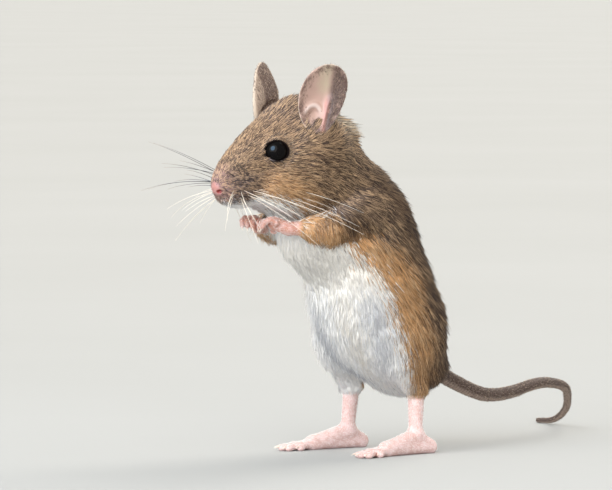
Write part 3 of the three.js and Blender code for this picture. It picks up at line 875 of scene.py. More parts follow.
def white_and_warm(p):
    """The white of belly, throat, inner arms and seat, and the ochre of side, cheek and sleeve."""
    x, y, z = p.T
    turn = around_body(p, np.abs(y))
    edge = np.interp(z, *BELLY_EDGE) + 3 * ripple(p, 7, 11)
    jaw = np.interp(x, *JAW_EDGE)
    out_of_arm = np.abs(y) - np.interp(x, [ELBOW[0], WRIST[0]], [ELBOW[1], WRIST[1]])
    sleeve = np.maximum(spot(p, [21, 10.8, 47.8], 4.2, 1.2), spot(p, [25.5, 8.6, 48.6], 3.4, 0.8))
    sleeve *= smooth(-1.2, 0.2, out_of_arm)

    belly = smooth(edge + 4, edge - 4, turn) * smooth(51, 47, z)
    throat = smooth(jaw + 0.8, jaw - 0.8, z + 0.3 * ripple(p, 3, 12)) * smooth(20, 25, x)
    inner_arm = smooth(0.0, -1.4, out_of_arm) * smooth(18, 21, x) * smooth(54, 51.5, z)
    under_seat = smooth(17.5, 14.5, z) * smooth(-9.5, -5.5, x) * smooth(7.5, 5.5, np.abs(y))
    white = np.maximum.reduce([belly, throat, inner_arm, under_seat]) * (1 - sleeve)

    wider = 12 * hump(z, 43, 6)
    side_band = band(turn, (edge - 2, edge + 5), (edge + 20 + wider, edge + 46 + wider))
    side_band *= smooth(53, 47, z) * (0.65 + 0.35 * smooth(18, 32, z))
    cheek = 0.85 * band(z, (jaw - 0.5, jaw + 1.0), (jaw + 3, jaw + 8)) * band(x, (20, 25), (33, 38))
    head = 0.12 * smooth(54, 58, z) * smooth(17, 23, x)
    warm = np.clip(np.maximum.reduce([side_band, cheek, sleeve, head]), 0, 1) * (1 - white)
    return white, warm


ochre = white_and_warm(skin_points)[1] > 0.5
print("ochre on", round(float(ochre.mean()) * 100), "% of the skin's corners")

# %% Dark, grey and cream markings, and painted shade
def dark_and_grey(p, white):
    """The dark of back, crown and ear hollow, a dark spot at the shoulder that is partly painted shade behind
    the arm, and the grey of muzzle, forehead and crown.
    """
    x, y, z = p.T
    back = smooth(92, 140, around_body(p, np.abs(y))) * smooth(72, 58, z)
    crown = smooth(71, 75, z) * smooth(30, 20, x) * 0.6
    # The shoulder's dark spot is partly dark hair and partly painted shade behind the arm.
    shoulder = spot(p, [17.8, 11.5, 51.0], 3.2, 2.6)
    ear_hollow = 0.4 * spot(p, [22.4, 8.2, 71.4], 2.2, 0.8)
    dark = np.clip(np.maximum.reduce([back, crown, shoulder, ear_hollow]), 0, 1)

    muzzle = smooth(34.5, 38.5, x + 0.6 * ripple(p, 4, 14)) * smooth(62, 59.5, z)
    forehead = 0.7 * spot(p, [28.5, 0, 73], 4, 3)
    top_of_head = 0.55 * smooth(68, 73, z) * smooth(15, 20, x)
    grey = np.clip(np.maximum.reduce([muzzle, forehead, top_of_head]), 0, 1) * (1 - white)
    return dark, grey


def cream_and_painted_shade(p, white):
    """The cream of eye ring and nape, painted bounce light on the bib, a painted highlight down the belly,
    and painted blue-grey shade in the belly's folds.
    """
    x, y, z = p.T
    around = around_the_eye(p)
    eye_ring = 0.16 * band(around, (1.15, 1.28), (1.35, 1.5)) * smooth(34.5, 33, x) * (x > FACE_FROM)
    # Cream on the bib is painted warm bounce light.
    bib_bounce_light = 0.3 * band(z, (35, 39), (46, 50)) * white
    parting = around_body(p, y) + 1.5 * ripple(p, 5, 13)
    # The cream band down the middle of the belly is a painted highlight on its ridge.
    fold = 0.4 * band(z, (14, 20), (34, 40)) * hump(parting, 27, 7)
    # The nape's pale spot is partly pale hair and partly painted rim light.
    nape = 0.72 * spot(p, [16.4, 7.8, 71.0], 2.3, 1.6)
    cream = np.maximum.reduce([nape, eye_ring, bib_bounce_light, fold])

    # Painted shade: blue-grey in the folds between the white belly and the thighs.
    right_shade = 0.8 * band(z, (11, 14), (28, 38)) * hump(parting, -14, 11)
    left_shade = 0.6 * band(z, (16, 22), (33, 39)) * hump(parting, 54, 8)
    slate = np.clip(right_shade + left_shade, 0, 1) * white
    return cream, slate


def markings(p):
    """All markings at the points p, each between 0 and 1."""
    white, warm = white_and_warm(p)
    dark, grey = dark_and_grey(p, white)
    cream, slate = cream_and_painted_shade(p, white)
    rosy = smooth(4.6, 1.6, np.linalg.norm((p - [42.6, 0, 58.4]) * [1, 1, 0.9], axis=1))
    return {
        "marks": np.stack([white, warm, dark], 1),
        "more_marks": np.stack([grey, cream, rosy], 1),
        "slate": slate,
    }


skin_marks = markings(skin_points)
print("the mean of each:", {name: mark.mean(0).round(2).tolist() for name, mark in skin_marks.items()})

# %% [markdown]
# ## The skin mesh
#
# The quads become one closed mesh. Its corners carry the shares and markings as attributes, which a material
# can read by name, so that no image is needed. Each ear and the tail carry their own measures: how far
# across, up and through the ear, and how far along the tail.

# %% Meshes and attributes
ATTRIBUTE_TYPES = {1: "FLOAT", 2: "FLOAT2", 3: "FLOAT_VECTOR"}
collection = bpy.context.scene.collection


def attach(mesh, name, values):
    """Gives each corner of a mesh a number, a pair or a triple under a name."""
    values = np.ascontiguousarray(values, np.float32)
    width = 1 if values.ndim == 1 else values.shape[1]
    field = "value" if width == 1 else "vector"
    mesh.attributes.new(name, ATTRIBUTE_TYPES[width], "POINT").data.foreach_set(field, values.ravel())


def mesh_object(name, points, faces=(), edges=()):
    """A smooth mesh as an object of the scene. It stands at the origin, with its place in its mesh."""
    mesh = bpy.data.meshes.new(name)
    mesh.from_pydata(np.asarray(points).tolist(), list(edges), [list(face) for face in faces])
    mesh.shade_smooth()
    piece = bpy.data.objects.new(name, mesh)
    collection.objects.link(piece)
    return piece


def rows_of(data, key="vector"):
    """A list of vectors that Blender holds, as an array with a row for each."""
    values = np.empty(3 * len(data), np.float32)
    data.foreach_get(key, values)
    return values.reshape(-1, 3)


skin = mesh_object("skin", placed(skin_points), skin_quads.tolist())
print("skin:", len(skin.data.vertices), "corners,", 2 * len(skin.data.polygons), "triangles")

# %% The skin's shares, markings and measures
THROUGH_EAR = 0.4


def ear_measures(p):
    """Across and up the nearer ear, and 1 in its hollow or -1 on its back."""
    w, h, reach, height = ear_place(on_the_left(p), 1)
    return np.stack([w, h, np.clip(height / THROUGH_EAR, -1, 1)], 1)


bare = [np.maximum(shares["hand"], shares["foot"]), shares["tail"], shares["ear"]]
for name, values in skin_marks.items():
    attach(skin.data, name, values)
attach(skin.data, "nose", shares["nose"])
attach(skin.data, "foot", shares["foot"])
attach(skin.data, "bare", np.stack(bare, 1))
attach(skin.data, "ear_place", ear_measures(skin_points))
attach(skin.data, "tail_run", tail_chain(skin_points)[1])
attach(skin.data, "pit", smooth(0.2, -0.05, np.minimum(*[hole(skin_points) for hole in NOSTRILS])))
print("the skin carries", [attribute.name for attribute in skin.data.attributes if not attribute.is_internal])

# %% [markdown]
# ## Lids and creases
#
# The lids are a bare dark ring, with a painted pale reflection on the moist lower edge at the front. Knuckles
# and soles have deeper pink painted into their creases as shade. A crease is found on the mesh itself: there
# the neighbours of a corner stand higher than it does, measured along its normal.

# %% Lids
LID_WIDTH = (1.17, 1.32)
DARK_CORNER_AHEAD, DARK_CORNER_DOWN = 2.6, 0.85
DARK_CORNER_LENGTH, DARK_CORNER_HEIGHT = 1.4, 0.7
# The pale line at the front of the lower lid is a painted reflection on its moist edge.
WET_GLINT_AT, WET_GLINT_SPREAD, WET_GLINT_SHARE = -48, 20, 0.6

around_eye = around_the_eye(skin_points)
on_face = skin_points[:, 0] > FACE_FROM
ahead, up, _ = eye_place(on_the_left(skin_points), 1)
from_corner = (ahead - DARK_CORNER_AHEAD) / DARK_CORNER_LENGTH, (up + DARK_CORNER_DOWN) / DARK_CORNER_HEIGHT
dark_corner = smooth(1.0, 0.6, np.hypot(*from_corner))
attach(skin.data, "lid", np.maximum(smooth(*LID_WIDTH[::-1], around_eye), dark_corner) * on_face)
round_the_eye = np.degrees(np.arctan2(up, ahead))
wet = hump(round_the_eye, WET_GLINT_AT, WET_GLINT_SPREAD) * band(around_eye, (0.98, 1.02), (1.08, 1.15))
attach(skin.data, "wet", WET_GLINT_SHARE * wet)
print("lids on", int((around_eye < LID_WIDTH[0]).sum()), "corners")

# %% Creases
CREASE = (0.02, 0.22)

corner_normals = rows_of(skin.data.vertices, "normal").astype(float)
pairs = np.concatenate([skin_quads[:, [a, (a + 1) % 4]] for a in range(4)])
here, neighbour = pairs.T
rise = skin_points[neighbour] - skin_points[here]
rise = (rise * corner_normals[here]).sum(1) / np.linalg.norm(rise, axis=1).clip(1e-6)
hollow = np.bincount(here, rise, len(skin_points)) / np.bincount(here, minlength=len(skin_points))
# Deeper pink painted into the creases stands for the shade there.
attach(skin.data, "crease", smooth(*CREASE, hollow))
print("creases on", int((hollow > CREASE[1]).sum()), "corners")

# %% [markdown]
# ## Node trees from Python
#
# Materials and geometry trees are both networks of nodes. Two small classes keep them readable: one adds
# any node, and the other wraps a socket, so that sums and products of sockets read as ordinary maths.

# %% Node helpers
class Tree:
    """A node tree, and short ways to add the nodes that are used most."""

    def __init__(self, tree):
        self.tree = tree

    def node(self, kind, settings=None, sockets=None, output=0):
        """Adds a node, sets or links its inputs, and gives back one of its outputs."""
        node = self.tree.nodes.new(kind)
        for key, value in (settings or {}).items():
            setattr(node, key, value)
        for key, value in (sockets or {}).items():
            if isinstance(value, Socket):
                self.tree.links.new(value.socket, node.inputs[key])
            else:
                node.inputs[key].default_value = value
        return Socket(self, node.outputs[output]) if node.outputs else node

    def maths(self, operation, *values):
        return self.node("ShaderNodeMath", {"operation": operation}, dict(enumerate(values)))

    def attribute(self, name, output="Fac"):
        return self.node("ShaderNodeAttribute", {"attribute_name": name}, output=output)

    def parts(self, vector):
        node = self.node("ShaderNodeSeparateXYZ", sockets={0: vector}).socket.node
        return [Socket(self, output) for output in node.outputs]

    def mix(self, amount, first, second):
        settings = {"data_type": "RGBA", "clamp_factor": True}
        return self.node("ShaderNodeMix", settings, {0: amount, 6: first, 7: second}, output=2)

    def layered(self, colour, *layers):
        """Colours laid over each other in turn, each as thickly as its own amount says."""
        for amount, layer in layers:
            colour = self.mix(amount, colour, layer)
        return colour

    def noise(self, vector, scale, detail):
        sockets = {"Vector": vector, "Scale": scale, "Detail": detail}
        return self.node("ShaderNodeTexNoise", sockets=sockets)

    def bump(self, height, distance, strength):
        sockets = {"Height": height, "Distance": distance, "Strength": strength}
        return self.node("ShaderNodeBump", sockets=sockets)


class Socket:
    """A socket that joins in ordinary expressions by adding Math nodes."""

    def __init__(self, tree, socket):
        self.tree, self.socket = tree, socket

    def __add__(self, other):
        return self.tree.maths("ADD", self, other)

    def __sub__(self, other):
        return self.tree.maths("SUBTRACT", self, other)

    def __rsub__(self, other):
        return self.tree.maths("SUBTRACT", other, self)

    def __mul__(self, other):
        return self.tree.maths("MULTIPLY", self, other)

    __radd__, __rmul__ = __add__, __mul__

    def between(self, low, high):
        """0 at low, 1 at high, and smooth between the two. Low may be the larger of the two."""
        settings = {"interpolation_type": "SMOOTHSTEP"}
        sockets = {"Value": self, "From Min": low, "From Max": high}
        return self.tree.node("ShaderNodeMapRange", settings, sockets)


def rgb(red, green, blue):
    """A colour as screens show it, 0 to 255, turned into the light that Blender counts in."""
    shown = [value / 255 for value in (red, green, blue)]
    linear = [c / 12.92 if c < 0.04045 else ((c + 0.055) / 1.055) ** 2.4 for c in shown]
    return (*linear, 1.0)


def new_material(name):
    material = bpy.data.materials.new(name)
    material.use_nodes = True
    material.node_tree.nodes.clear()
    return material, Tree(material.node_tree)


def finish_material(tree, sockets):
    shader = tree.node("ShaderNodeBsdfPrincipled", sockets=sockets)
    tree.node("ShaderNodeOutputMaterial", sockets={"Surface": shader})


print("half grey on a screen is", round(rgb(128, 128, 128)[0], 3), "of full light")

# %% [markdown]
# ## The colour of the coat
#
# Each hair of a wild mouse is banded: slate grey at the root, then brown, then an ochre or black tip. From
# afar that reads as brown with fine light and dark streaks. One function mixes the markings into a colour,
# and both the skin and the tufts use it, so that a gap between tufts doesn't show.

# %% Coat colours
BROWN, OCHRE, DARK = rgb(118, 98, 82), rgb(224, 170, 114), rgb(78, 60, 47)
GREY, WHITE, CREAM, ROSY = rgb(137, 119, 114), rgb(254, 253, 251), rgb(246, 234, 212), rgb(184, 144, 140)
# SHADE_WHITE and the blue-grey below are colours of painted shade on white hair.
SLATE, SHADE_WHITE = rgb(72, 62, 60), rgb(196, 203, 216)
PAINTED_SHADE_BLUE = rgb(160, 168, 184)
PALE_TIP, DARK_TIP = rgb(214, 180, 142), rgb(56, 45, 42)


def coat_colour(tree, tint, along):
    """Colour of a hair. Its tint runs from 0, dark, to 1, pale, and the place along it from root to tip."""
    white, warm, dark = tree.parts(tree.attribute("marks", "Vector"))
    grey, cream, rosy = tree.parts(tree.attribute("more_marks", "Vector"))
    slate = tree.attribute("slate")
    pale_tip = tint.between(0.55, 0.85) * along.between(0.1, 0.6) * (1 - dark * 0.7)
    dark_hair = tint.between(0.42, 0.12) * (1 - warm * 0.5)
    brown_hair = tree.layered(
        BROWN,
        (warm * (0.7 + tint * 0.3), OCHRE),
        (dark, DARK),
        (grey, GREY),
        (rosy * 0.8, ROSY),
        (pale_tip * 0.8, PALE_TIP),
        (dark_hair * 0.9, DARK_TIP),
        ((1 - along.between(0.0, 0.45)) * 0.5, SLATE),
    )
    white_hair = tree.layered(
        WHITE,
        # White hairs with a dark tint take painted blue-grey shade, and their roots do too, partly as their
        # own grey bases.
        (tint.between(0.3, 0.0) * 0.5 + (1 - along.between(0.0, 0.4)) * 0.2, SHADE_WHITE),
        # Blue-grey and grey over white hair here are the painted shade of the belly's folds.
        (slate * (0.55 + tint * 0.5), PAINTED_SHADE_BLUE),
        (slate * tint.between(0.35, 0.1) * 0.55, GREY),
    )
    cream_hair = tree.mix((1 - along.between(0.0, 0.5)) * 0.25, CREAM, SLATE)
    return tree.layered(brown_hair, (white, white_hair), (cream, cream_hair))


# %% Material of the tufts
coat_material, tree = new_material("coat")
finish_material(tree, {
    "Base Color": coat_colour(tree, tree.attribute("tint"), tree.attribute("along")),
    "Roughness": 0.68,
    "Specular IOR Level": 0.2,
    "Sheen Weight": 0.05,
    "Sheen Roughness": 0.4,
})
print("the coat's material has", len(coat_material.node_tree.nodes), "nodes")

# %% Materials of down, claws and whiskers
down_material, tree = new_material("down")
tint = tree.attribute("tint")
finish_material(tree, {
    "Base Color": tree.mix(tint.between(0.45, 0.75), rgb(108, 88, 78), rgb(186, 164, 144)),
    "Roughness": 0.5,
    "Specular IOR Level": 0.3,
})
claw_material, tree = new_material("claw")
along = tree.attribute("along")
finish_material(tree, {
    "Base Color": tree.mix(along.between(0.1, 0.9), rgb(226, 190, 174), rgb(240, 230, 216)),
    "Roughness": 0.3,
    "Coat Weight": 0.3,
})
whisker_material, tree = new_material("whisker")
along = tree.attribute("along")
pale = tree.mix(along.between(0.0, 0.3), rgb(200, 180, 160), rgb(246, 238, 224))
black = tree.mix(along.between(0.5, 1.0), rgb(40, 30, 28), rgb(150, 130, 115))
finish_material(tree, {
    "Base Color": tree.mix(tree.attribute("tint"), pale, black),
    "Roughness": 0.35,
    "Specular IOR Level": 0.4,
})
print("also", down_material.name, claw_material.name, "and", whisker_material.name)

# %% [markdown]
# ## The skin's material
#
# Under the tufts the skin has the coat's own colours, drawn out into streaks. Where it is bare it shows
# itself: pink hands and feet with creases, a moist nose, thin ears that are darker behind, and a tail with
# fine rings. The lids get a shader of their own with no shine, because a lamp's shine would otherwise show on
# the thin dark ring. A Mix Shader sets it beside the other.

# %% Colours of the bare parts
PINK, PALE_PINK, DEEP_PINK = rgb(186, 136, 119), rgb(232, 206, 204), rgb(168, 98, 84)
NOSE_PINK, NOSTRIL = rgb(190, 142, 138), rgb(150, 50, 42)
EAR_IN, EAR_PALE, EAR_BACK = rgb(190, 160, 148), rgb(190, 174, 152), rgb(114, 92, 80)
EAR_PINK, EAR_LINE, EAR_RIDGE_HIGHLIGHT = rgb(208, 156, 148), rgb(92, 68, 60), rgb(236, 226, 222)
EAR_DUSK_AND_SHADE, EAR_MARGIN_LIGHT, EAR_EDGE = rgb(98, 80, 72), rgb(186, 166, 148), rgb(206, 190, 172)
TAIL_TOP, TAIL_UNDER = rgb(90, 75, 68), rgb(172, 152, 140)
LID_DARK, WET_GLINT = rgb(24, 19, 19), rgb(176, 164, 166)
RING_SPACING = 0.7


def hand_and_foot_colour(tree, fine, soft):
    """Pink with pale patches, paler on the feet, and deep pink painted into the creases as shade."""
    paleness = soft.between(0.35, 0.7) * 0.45 + tree.attribute("foot") * 0.6
    # Deep pink in the creases is painted shade.
    redness_and_crease_shade = fine.between(0.62, 0.4) * 0.2 + tree.attribute("crease") * 0.9
    return tree.layered(PINK, (paleness, PALE_PINK), (redness_and_crease_shade, DEEP_PINK))


def tail_colour(tree, rings):
    """Dark above and pale below, with a dark line at every ring of scales."""
    faces_up = tree.parts(tree.node("ShaderNodeNewGeometry", output="Normal"))[2]
    return tree.layered(
        TAIL_TOP,
        (faces_up.between(-0.2, -0.8), TAIL_UNDER),
        (rings.between(0.2, 1.0) * 0.4, LID_DARK),
    )


def ear_colour(tree, blotch):
    """Thin skin with a pale strip, a pink hollow, dusky blotches and a painted highlight on the ridge, and a
    dark back with a painted shade band and painted light on its front margin.
    """
    across, up, through = tree.parts(tree.attribute("ear_place", "Vector"))
    reach = tree.maths("SQRT", across * across + up * up)
    strip = across + blotch * 0.5 - 0.25
    ridge_across, ridge_up = across - RIDGE_AT[0], up - RIDGE_AT[1]
    from_ridge = tree.maths("SQRT", ridge_across * ridge_across + ridge_up * ridge_up) - RIDGE_RADIUS
    # The pale band along the ridge is a painted highlight.
    ridge = from_ridge.between(-0.09, -0.02) * from_ridge.between(0.09, 0.02) * up.between(-0.5, -0.3)
    behind = through.between(0.2, -0.2)
    return tree.layered(
        EAR_IN,
        (up.between(-0.1, 0.4) * strip.between(-0.5, 0.0) * strip.between(0.35, -0.05), EAR_PALE),
        (across.between(-0.1, 0.15) * up.between(0.15, -0.2) * across.between(0.4, 0.25), EAR_PINK),
        (across.between(0.0, 0.35) * blotch.between(0.1, 0.5) * 0.95, EAR_DUSK_AND_SHADE),
        (ridge * 0.4, EAR_RIDGE_HIGHLIGHT),
        (reach.between(0.74, 0.9) * blotch.between(0.35, 0.65) * 0.8, EAR_LINE),
        (behind, tree.mix(blotch.between(0.4, 0.7) * 0.4, EAR_BACK, EAR_LINE)),
        # On the back, a band of painted shade lies inside the front margin, and the pale margin is painted
        # sunlight on the folded rim.
        (behind * across.between(-0.76, -0.6) * across.between(-0.1, -0.5) * 0.6, EAR_DUSK_AND_SHADE),
        (behind * across.between(-0.62, -0.74) * 0.8, EAR_MARGIN_LIGHT),
        (reach.between(0.955, 0.99), EAR_EDGE),
    )


print("a ring of scales every", RING_SPACING, "mm of the tail")

# %% Material of the skin
skin_material, tree = new_material("skin")
place = tree.node("ShaderNodeTexCoord", output="Object")
fine, soft, blotch = tree.noise(place, 5200, 3.0), tree.noise(place, 900, 2.0), tree.noise(place, 700, 4.0)
hand, tail_share, ear_share = tree.parts(tree.attribute("bare", "Vector"))
nose_share = tree.attribute("nose")
rings = tree.maths("SINE", tree.attribute("tail_run") * (2 * math.pi / RING_SPACING))
relief = fine * 0.5 + tree.noise(place, 12000, 2.0) * 0.3 + rings * tail_share * 0.25
open_skin = tree.node("ShaderNodeBsdfPrincipled", sockets={
    "Base Color": tree.layered(
        coat_colour(tree, fine, soft * 0.8),
        (hand, hand_and_foot_colour(tree, fine, soft)),
        (tail_share, tail_colour(tree, rings)),
        (ear_share, ear_colour(tree, blotch)),
        (nose_share, tree.mix(soft.between(0.35, 0.65) * 0.5, NOSE_PINK, DEEP_PINK)),
        (tree.attribute("pit"), NOSTRIL),
    ),
    "Roughness": 0.62 - nose_share * 0.22,
    "Specular IOR Level": 0.25,
    "Normal": tree.bump(relief, 0.00008, 0.7),
})
lid_skin = tree.node("ShaderNodeBsdfPrincipled", sockets={
    # The lid's pale front edge is a painted reflection.
    "Base Color": tree.mix(tree.attribute("wet"), LID_DARK, WET_GLINT),
    "Roughness": 0.9,
    "Specular IOR Level": 0.0,
})
whole = tree.node("ShaderNodeMixShader", sockets={0: tree.attribute("lid"), 1: open_skin, 2: lid_skin})
tree.node("ShaderNodeOutputMaterial", sockets={"Surface": whole})
skin.data.materials.append(skin_material)
print("the skin's material has", len(skin_material.node_tree.nodes), "nodes")

# %% [markdown]
# ## Eyes
#
# A mouse's eye is a black bead, all pupil by day, with a clear cornea that bulges a little at its front. A
# fine sphere is pushed out there, and the gloss is a clear coat over a very dark brown. The sphere is made of
# rings here, because Blender's own may number its corners another way in each run.

# %% A ball of rings
EYE_BANDS, EYE_SECTORS = 32, 64


def ring_quads(rings, sides):
    """Quads between rings of corners that are numbered one after another, from the lowest ring up."""
    numbers = np.arange(rings * sides).reshape(rings, sides)
    following = np.roll(numbers, -1, axis=1)
    return np.stack([numbers[:-1], following[:-1], following[1:], numbers[1:]], -1).reshape(-1, 4).tolist()


def ball_shape():
    """Corners and faces of a ball of radius 1: rings joined by quads, and a fan of triangles at each pole."""
    rise = np.repeat(np.linspace(0, math.pi, EYE_BANDS + 1)[1:-1], EYE_SECTORS)
    turn = np.tile(np.arange(EYE_SECTORS) * 2 * math.pi / EYE_SECTORS, EYE_BANDS - 1)
    rings = np.stack([np.sin(rise) * np.cos(turn), np.sin(rise) * np.sin(turn), -np.cos(rise)], 1)
    bottom, top = len(rings), len(rings) + 1
    faces = ring_quads(EYE_BANDS - 1, EYE_SECTORS)
    for a in range(EYE_SECTORS):
        b = (a + 1) % EYE_SECTORS
        faces += [[bottom, b, a], [top, bottom - EYE_SECTORS + a, bottom - EYE_SECTORS + b]]
    return np.vstack([rings, [[0, 0, -1], [0, 0, 1]]]), faces


ball_points, ball_faces = ball_shape()
print("the ball has", len(ball_points), "corners and", len(ball_faces), "faces")

# %% Eyeballs
CORNEA_BULGE = 0.12

eye_material, tree = new_material("eye")
place = tree.node("ShaderNodeTexCoord", output="Object")
finish_material(tree, {
    "Base Color": tree.mix(tree.noise(place, 1500, 3.0), rgb(4, 4, 5), rgb(13, 10, 10)),
    "Roughness": 0.3,
    "Specular IOR Level": 0.0,
    "Coat Weight": 0.35,
    "Coat Roughness": 0.07,
    "Coat IOR": 1.33,
})


def eyeball(name, side):
    """A ball round the eye's middle that stands out a little where the eye looks."""
    bulge = EYE_RADIUS + CORNEA_BULGE * smooth(0.5, 1.0, ball_points @ mirrored(LOOK, side))
    piece = mesh_object(name, placed(ball_points * bulge[:, None] + mirrored(EYE_AT, side)), ball_faces)
    piece.data.materials.append(eye_material)
    return piece


eyeballs = {side: eyeball(f"eyeball_{side}", sign) for side, sign in SIDES.items()}
print("eyeballs", EYE_RADIUS * 2, "mm across")

# %% [markdown]
# ## Where the tufts grow
#
# A tuft needs a root on the skin. Roots are drawn evenly over the mesh's area, weighted by how dense the
# coat is there. The draws are spread in equal steps along the running total of the weights, so that no face
# is left bare by chance. Each root takes its normal and shares from the corners of its triangle.

# %% Roots
triangles = np.concatenate([skin_quads[:, [0, 1, 2]], skin_quads[:, [0, 2, 3]]])
order = np.argsort(np.tile(np.arange(len(skin_quads)), 2), kind="stable")
triangles = triangles[order]
first, second, third = skin_points[triangles].transpose(1, 0, 2)
triangle_area = np.linalg.norm(np.cross(second - first, third - first), axis=1) / 2


def roots(per_corner, seed):
    """Roots on the skin, for a density in tufts to the square millimetre given at each corner."""
    draw = np.random.default_rng(seed)
    weight = np.cumsum(triangle_area * per_corner[triangles].mean(1))
    count = int(weight[-1])
    at = (np.arange(count) + draw.random(count)) * (weight[-1] / count)
    chosen = triangles[np.searchsorted(weight, at).clip(0, len(triangles) - 1)]
    a, b = draw.random((2, count))
    a, b = np.where(a + b > 1, 1 - a, a), np.where(a + b > 1, 1 - b, b)
    mixing = np.stack([1 - a - b, a, b], 1)

    def at_roots(values):
        return np.einsum("nc,nc...->n...", mixing, np.asarray(values)[chosen])
    return at_roots, draw


def unit_rows(vectors):
    return vectors / np.linalg.norm(vectors, axis=1, keepdims=True)


print("the skin has", round(float(triangle_area.sum())), "square mm")

# %% Where the coat is
COAT_FROM_EYE = (1.13, 1.21)

bare_share = np.maximum.reduce(list(shares.values()))
lid_share = np.where(on_face, (1 - dark_corner) * smooth(*COAT_FROM_EYE, around_eye), 1)
coat_share = smooth(0.7, 0.3, bare_share) * lid_share
corner_length = in_chunks(lambda p: guided(p, guide_length), skin_points)
coat_area = (triangle_area * coat_share[triangles].mean(1)).sum()
print("coat covers", round(float(coat_area)), "square mm of it")

# %% [markdown]
# ## One tuft
#
# A tuft is a slim closed spindle of six triangles: a root under the others, a ring of three corners at its
# thickest, and a tip. The ring stands off to one side, which bends the tuft. Its corners know how far along
# the tuft they are, for its colours, and where they lie in the tuft's small patch on the map for baking.

# %% Tuft
TUFT_RING, TUFT_BEND = 0.36, 0.75
TUFT_FACES = [[0, 2, 1], [0, 3, 2], [0, 1, 3], [4, 1, 2], [4, 2, 3], [4, 3, 1]]


def tuft_shape():
    angles = np.radians([0, 120, 240])
    ring = [[TUFT_BEND + 0.5 * math.cos(a), 0.5 * math.sin(a), TUFT_RING] for a in angles]
    shape = mesh_object("tuft_shape", [[0, 0, 0], *ring, [0, 0, 1]], TUFT_FACES)
    attach(shape.data, "patch", [[0.5, 0], [0, 0.4], [0.5, 0.4], [1, 0.4], [0.5, 1]])
    attach(shape.data, "along", [0, TUFT_RING, TUFT_RING, TUFT_RING, 1])
    return shape


tuft = tuft_shape()
print("a tuft has", len(tuft.data.vertices), "corners and", len(tuft.data.polygons), "triangles")

# %% [markdown]
# ## A tree that plants it
#
# Geometry Nodes set one tuft on each root, turn it to the lie of the coat, and stretch it to its own length
# and width. The tuft's small patch on the map for baking is laid at its root's place. The tree has named
# inputs, so that the same tree later plants the claws as well.

# %% Trees with named inputs
def new_group(name, inputs):
    """A geometry tree, and its inputs as sockets by name. It takes in and gives out a geometry."""
    group = bpy.data.node_groups.new(name, "GeometryNodeTree")
    for label, kind in {"Geometry": "NodeSocketGeometry", **inputs}.items():
        group.interface.new_socket(label, in_out="INPUT", socket_type=kind)
    group.interface.new_socket("Geometry", in_out="OUTPUT", socket_type="NodeSocketGeometry")
    tree = Tree(group)
    entry = tree.node("NodeGroupInput").socket.node
    return tree, {output.name: Socket(tree, output) for output in entry.outputs if output.name}


def grow(piece, group, values):
    """Gives the piece the mesh that a tree makes of it, and takes the tree off again."""
    modifier = piece.modifiers.new(group.name, "NODES")
    modifier.node_group = group
    for item in group.interface.items_tree:
        if item.in_out == "INPUT" and item.name in values:
            modifier[item.identifier] = values[item.name]
    depsgraph = bpy.context.evaluated_depsgraph_get()
    mesh = bpy.data.meshes.new_from_object(piece.evaluated_get(depsgraph))
    piece.modifiers.remove(modifier)
    points, piece.data = piece.data, mesh
    bpy.data.meshes.remove(points)
    mesh.name = piece.name


def planting_tree():
    """Sets a shape on every point, along its `way`, with its `up` side outwards."""
    tree, entry = new_group("planting", {
        "Shape": "NodeSocketObject",
        "Material": "NodeSocketMaterial",
        "Patch size": "NodeSocketFloat",
    })

    def named(name, kind="FLOAT_VECTOR"):
        return tree.node("GeometryNodeInputNamedAttribute", {"data_type": kind}, {"Name": name})

    axes = {"primary_axis": "Z", "secondary_axis": "X"}
    turn = tree.node("FunctionNodeAxesToRotation", axes, {0: named("way"), 1: named("up")})
    shape = tree.node("GeometryNodeObjectInfo", sockets={"Object": entry["Shape"]}, output="Geometry")
    instances = tree.node("GeometryNodeInstanceOnPoints", sockets={
        "Points": entry["Geometry"],
        "Instance": shape,
        "Rotation": turn,
        "Scale": named("size"),
    })
    real = tree.node("GeometryNodeRealizeInstances", sockets={0: instances})
    patch = {0: named("patch"), "Scale": entry["Patch size"]}
    patch = tree.node("ShaderNodeVectorMath", {"operation": "SCALE"}, patch)
    laid = tree.node("ShaderNodeVectorMath", {"operation": "ADD"}, {0: patch, 1: named("unwrap")})
    pair_at_corner = {"data_type": "FLOAT2", "domain": "CORNER"}
    stored = {"Geometry": real, "Name": "OFBake", "Value": laid}
    stored = tree.node("GeometryNodeStoreNamedAttribute", pair_at_corner, stored)
    last = tree.node("GeometryNodeSetMaterial", sockets={"Geometry": stored, "Material": entry["Material"]})
    tree.node("NodeGroupOutput", sockets={0: last})
    return tree.tree


planting = planting_tree()
print("planting:", len(planting.nodes), "nodes, inputs", [
    item.name for item in planting.interface.items_tree if item.in_out == "INPUT"
])

# %% [markdown]
# ## Planting, with soft light
#
# Thin spindles that are each lit by their own sides look like needles. Fur catches the light as one soft
# surface, so each tuft's normals are turned more than halfway to that of the skin under it.

# %% Planting
BAKE_PATCH = 0.003
WORK_ATTRIBUTES = ("way", "up", "size", "patch", "unwrap")


def planted(name, shape, material, at, attributes, softness=0.0):
    """A piece with the shape planted at every point `at`, in metres."""
    piece = mesh_object(name, at)
    for key, values in attributes.items():
        attach(piece.data, key, values)
    grow(piece, planting, {"Shape": shape, "Material": material, "Patch size": BAKE_PATCH})
    mesh = piece.data
    if softness:
        soft = softness * rows_of(mesh.attributes["up"].data) + (1 - softness) * rows_of(mesh.vertex_normals)
        mesh.normals_split_custom_set_from_vertices(unit_rows(soft).tolist())
    for key in WORK_ATTRIBUTES:
        if key in mesh.attributes:
            mesh.attributes.remove(mesh.attributes[key])
    return piece


print("a tuft's patch is", BAKE_PATCH, "of the map's side")

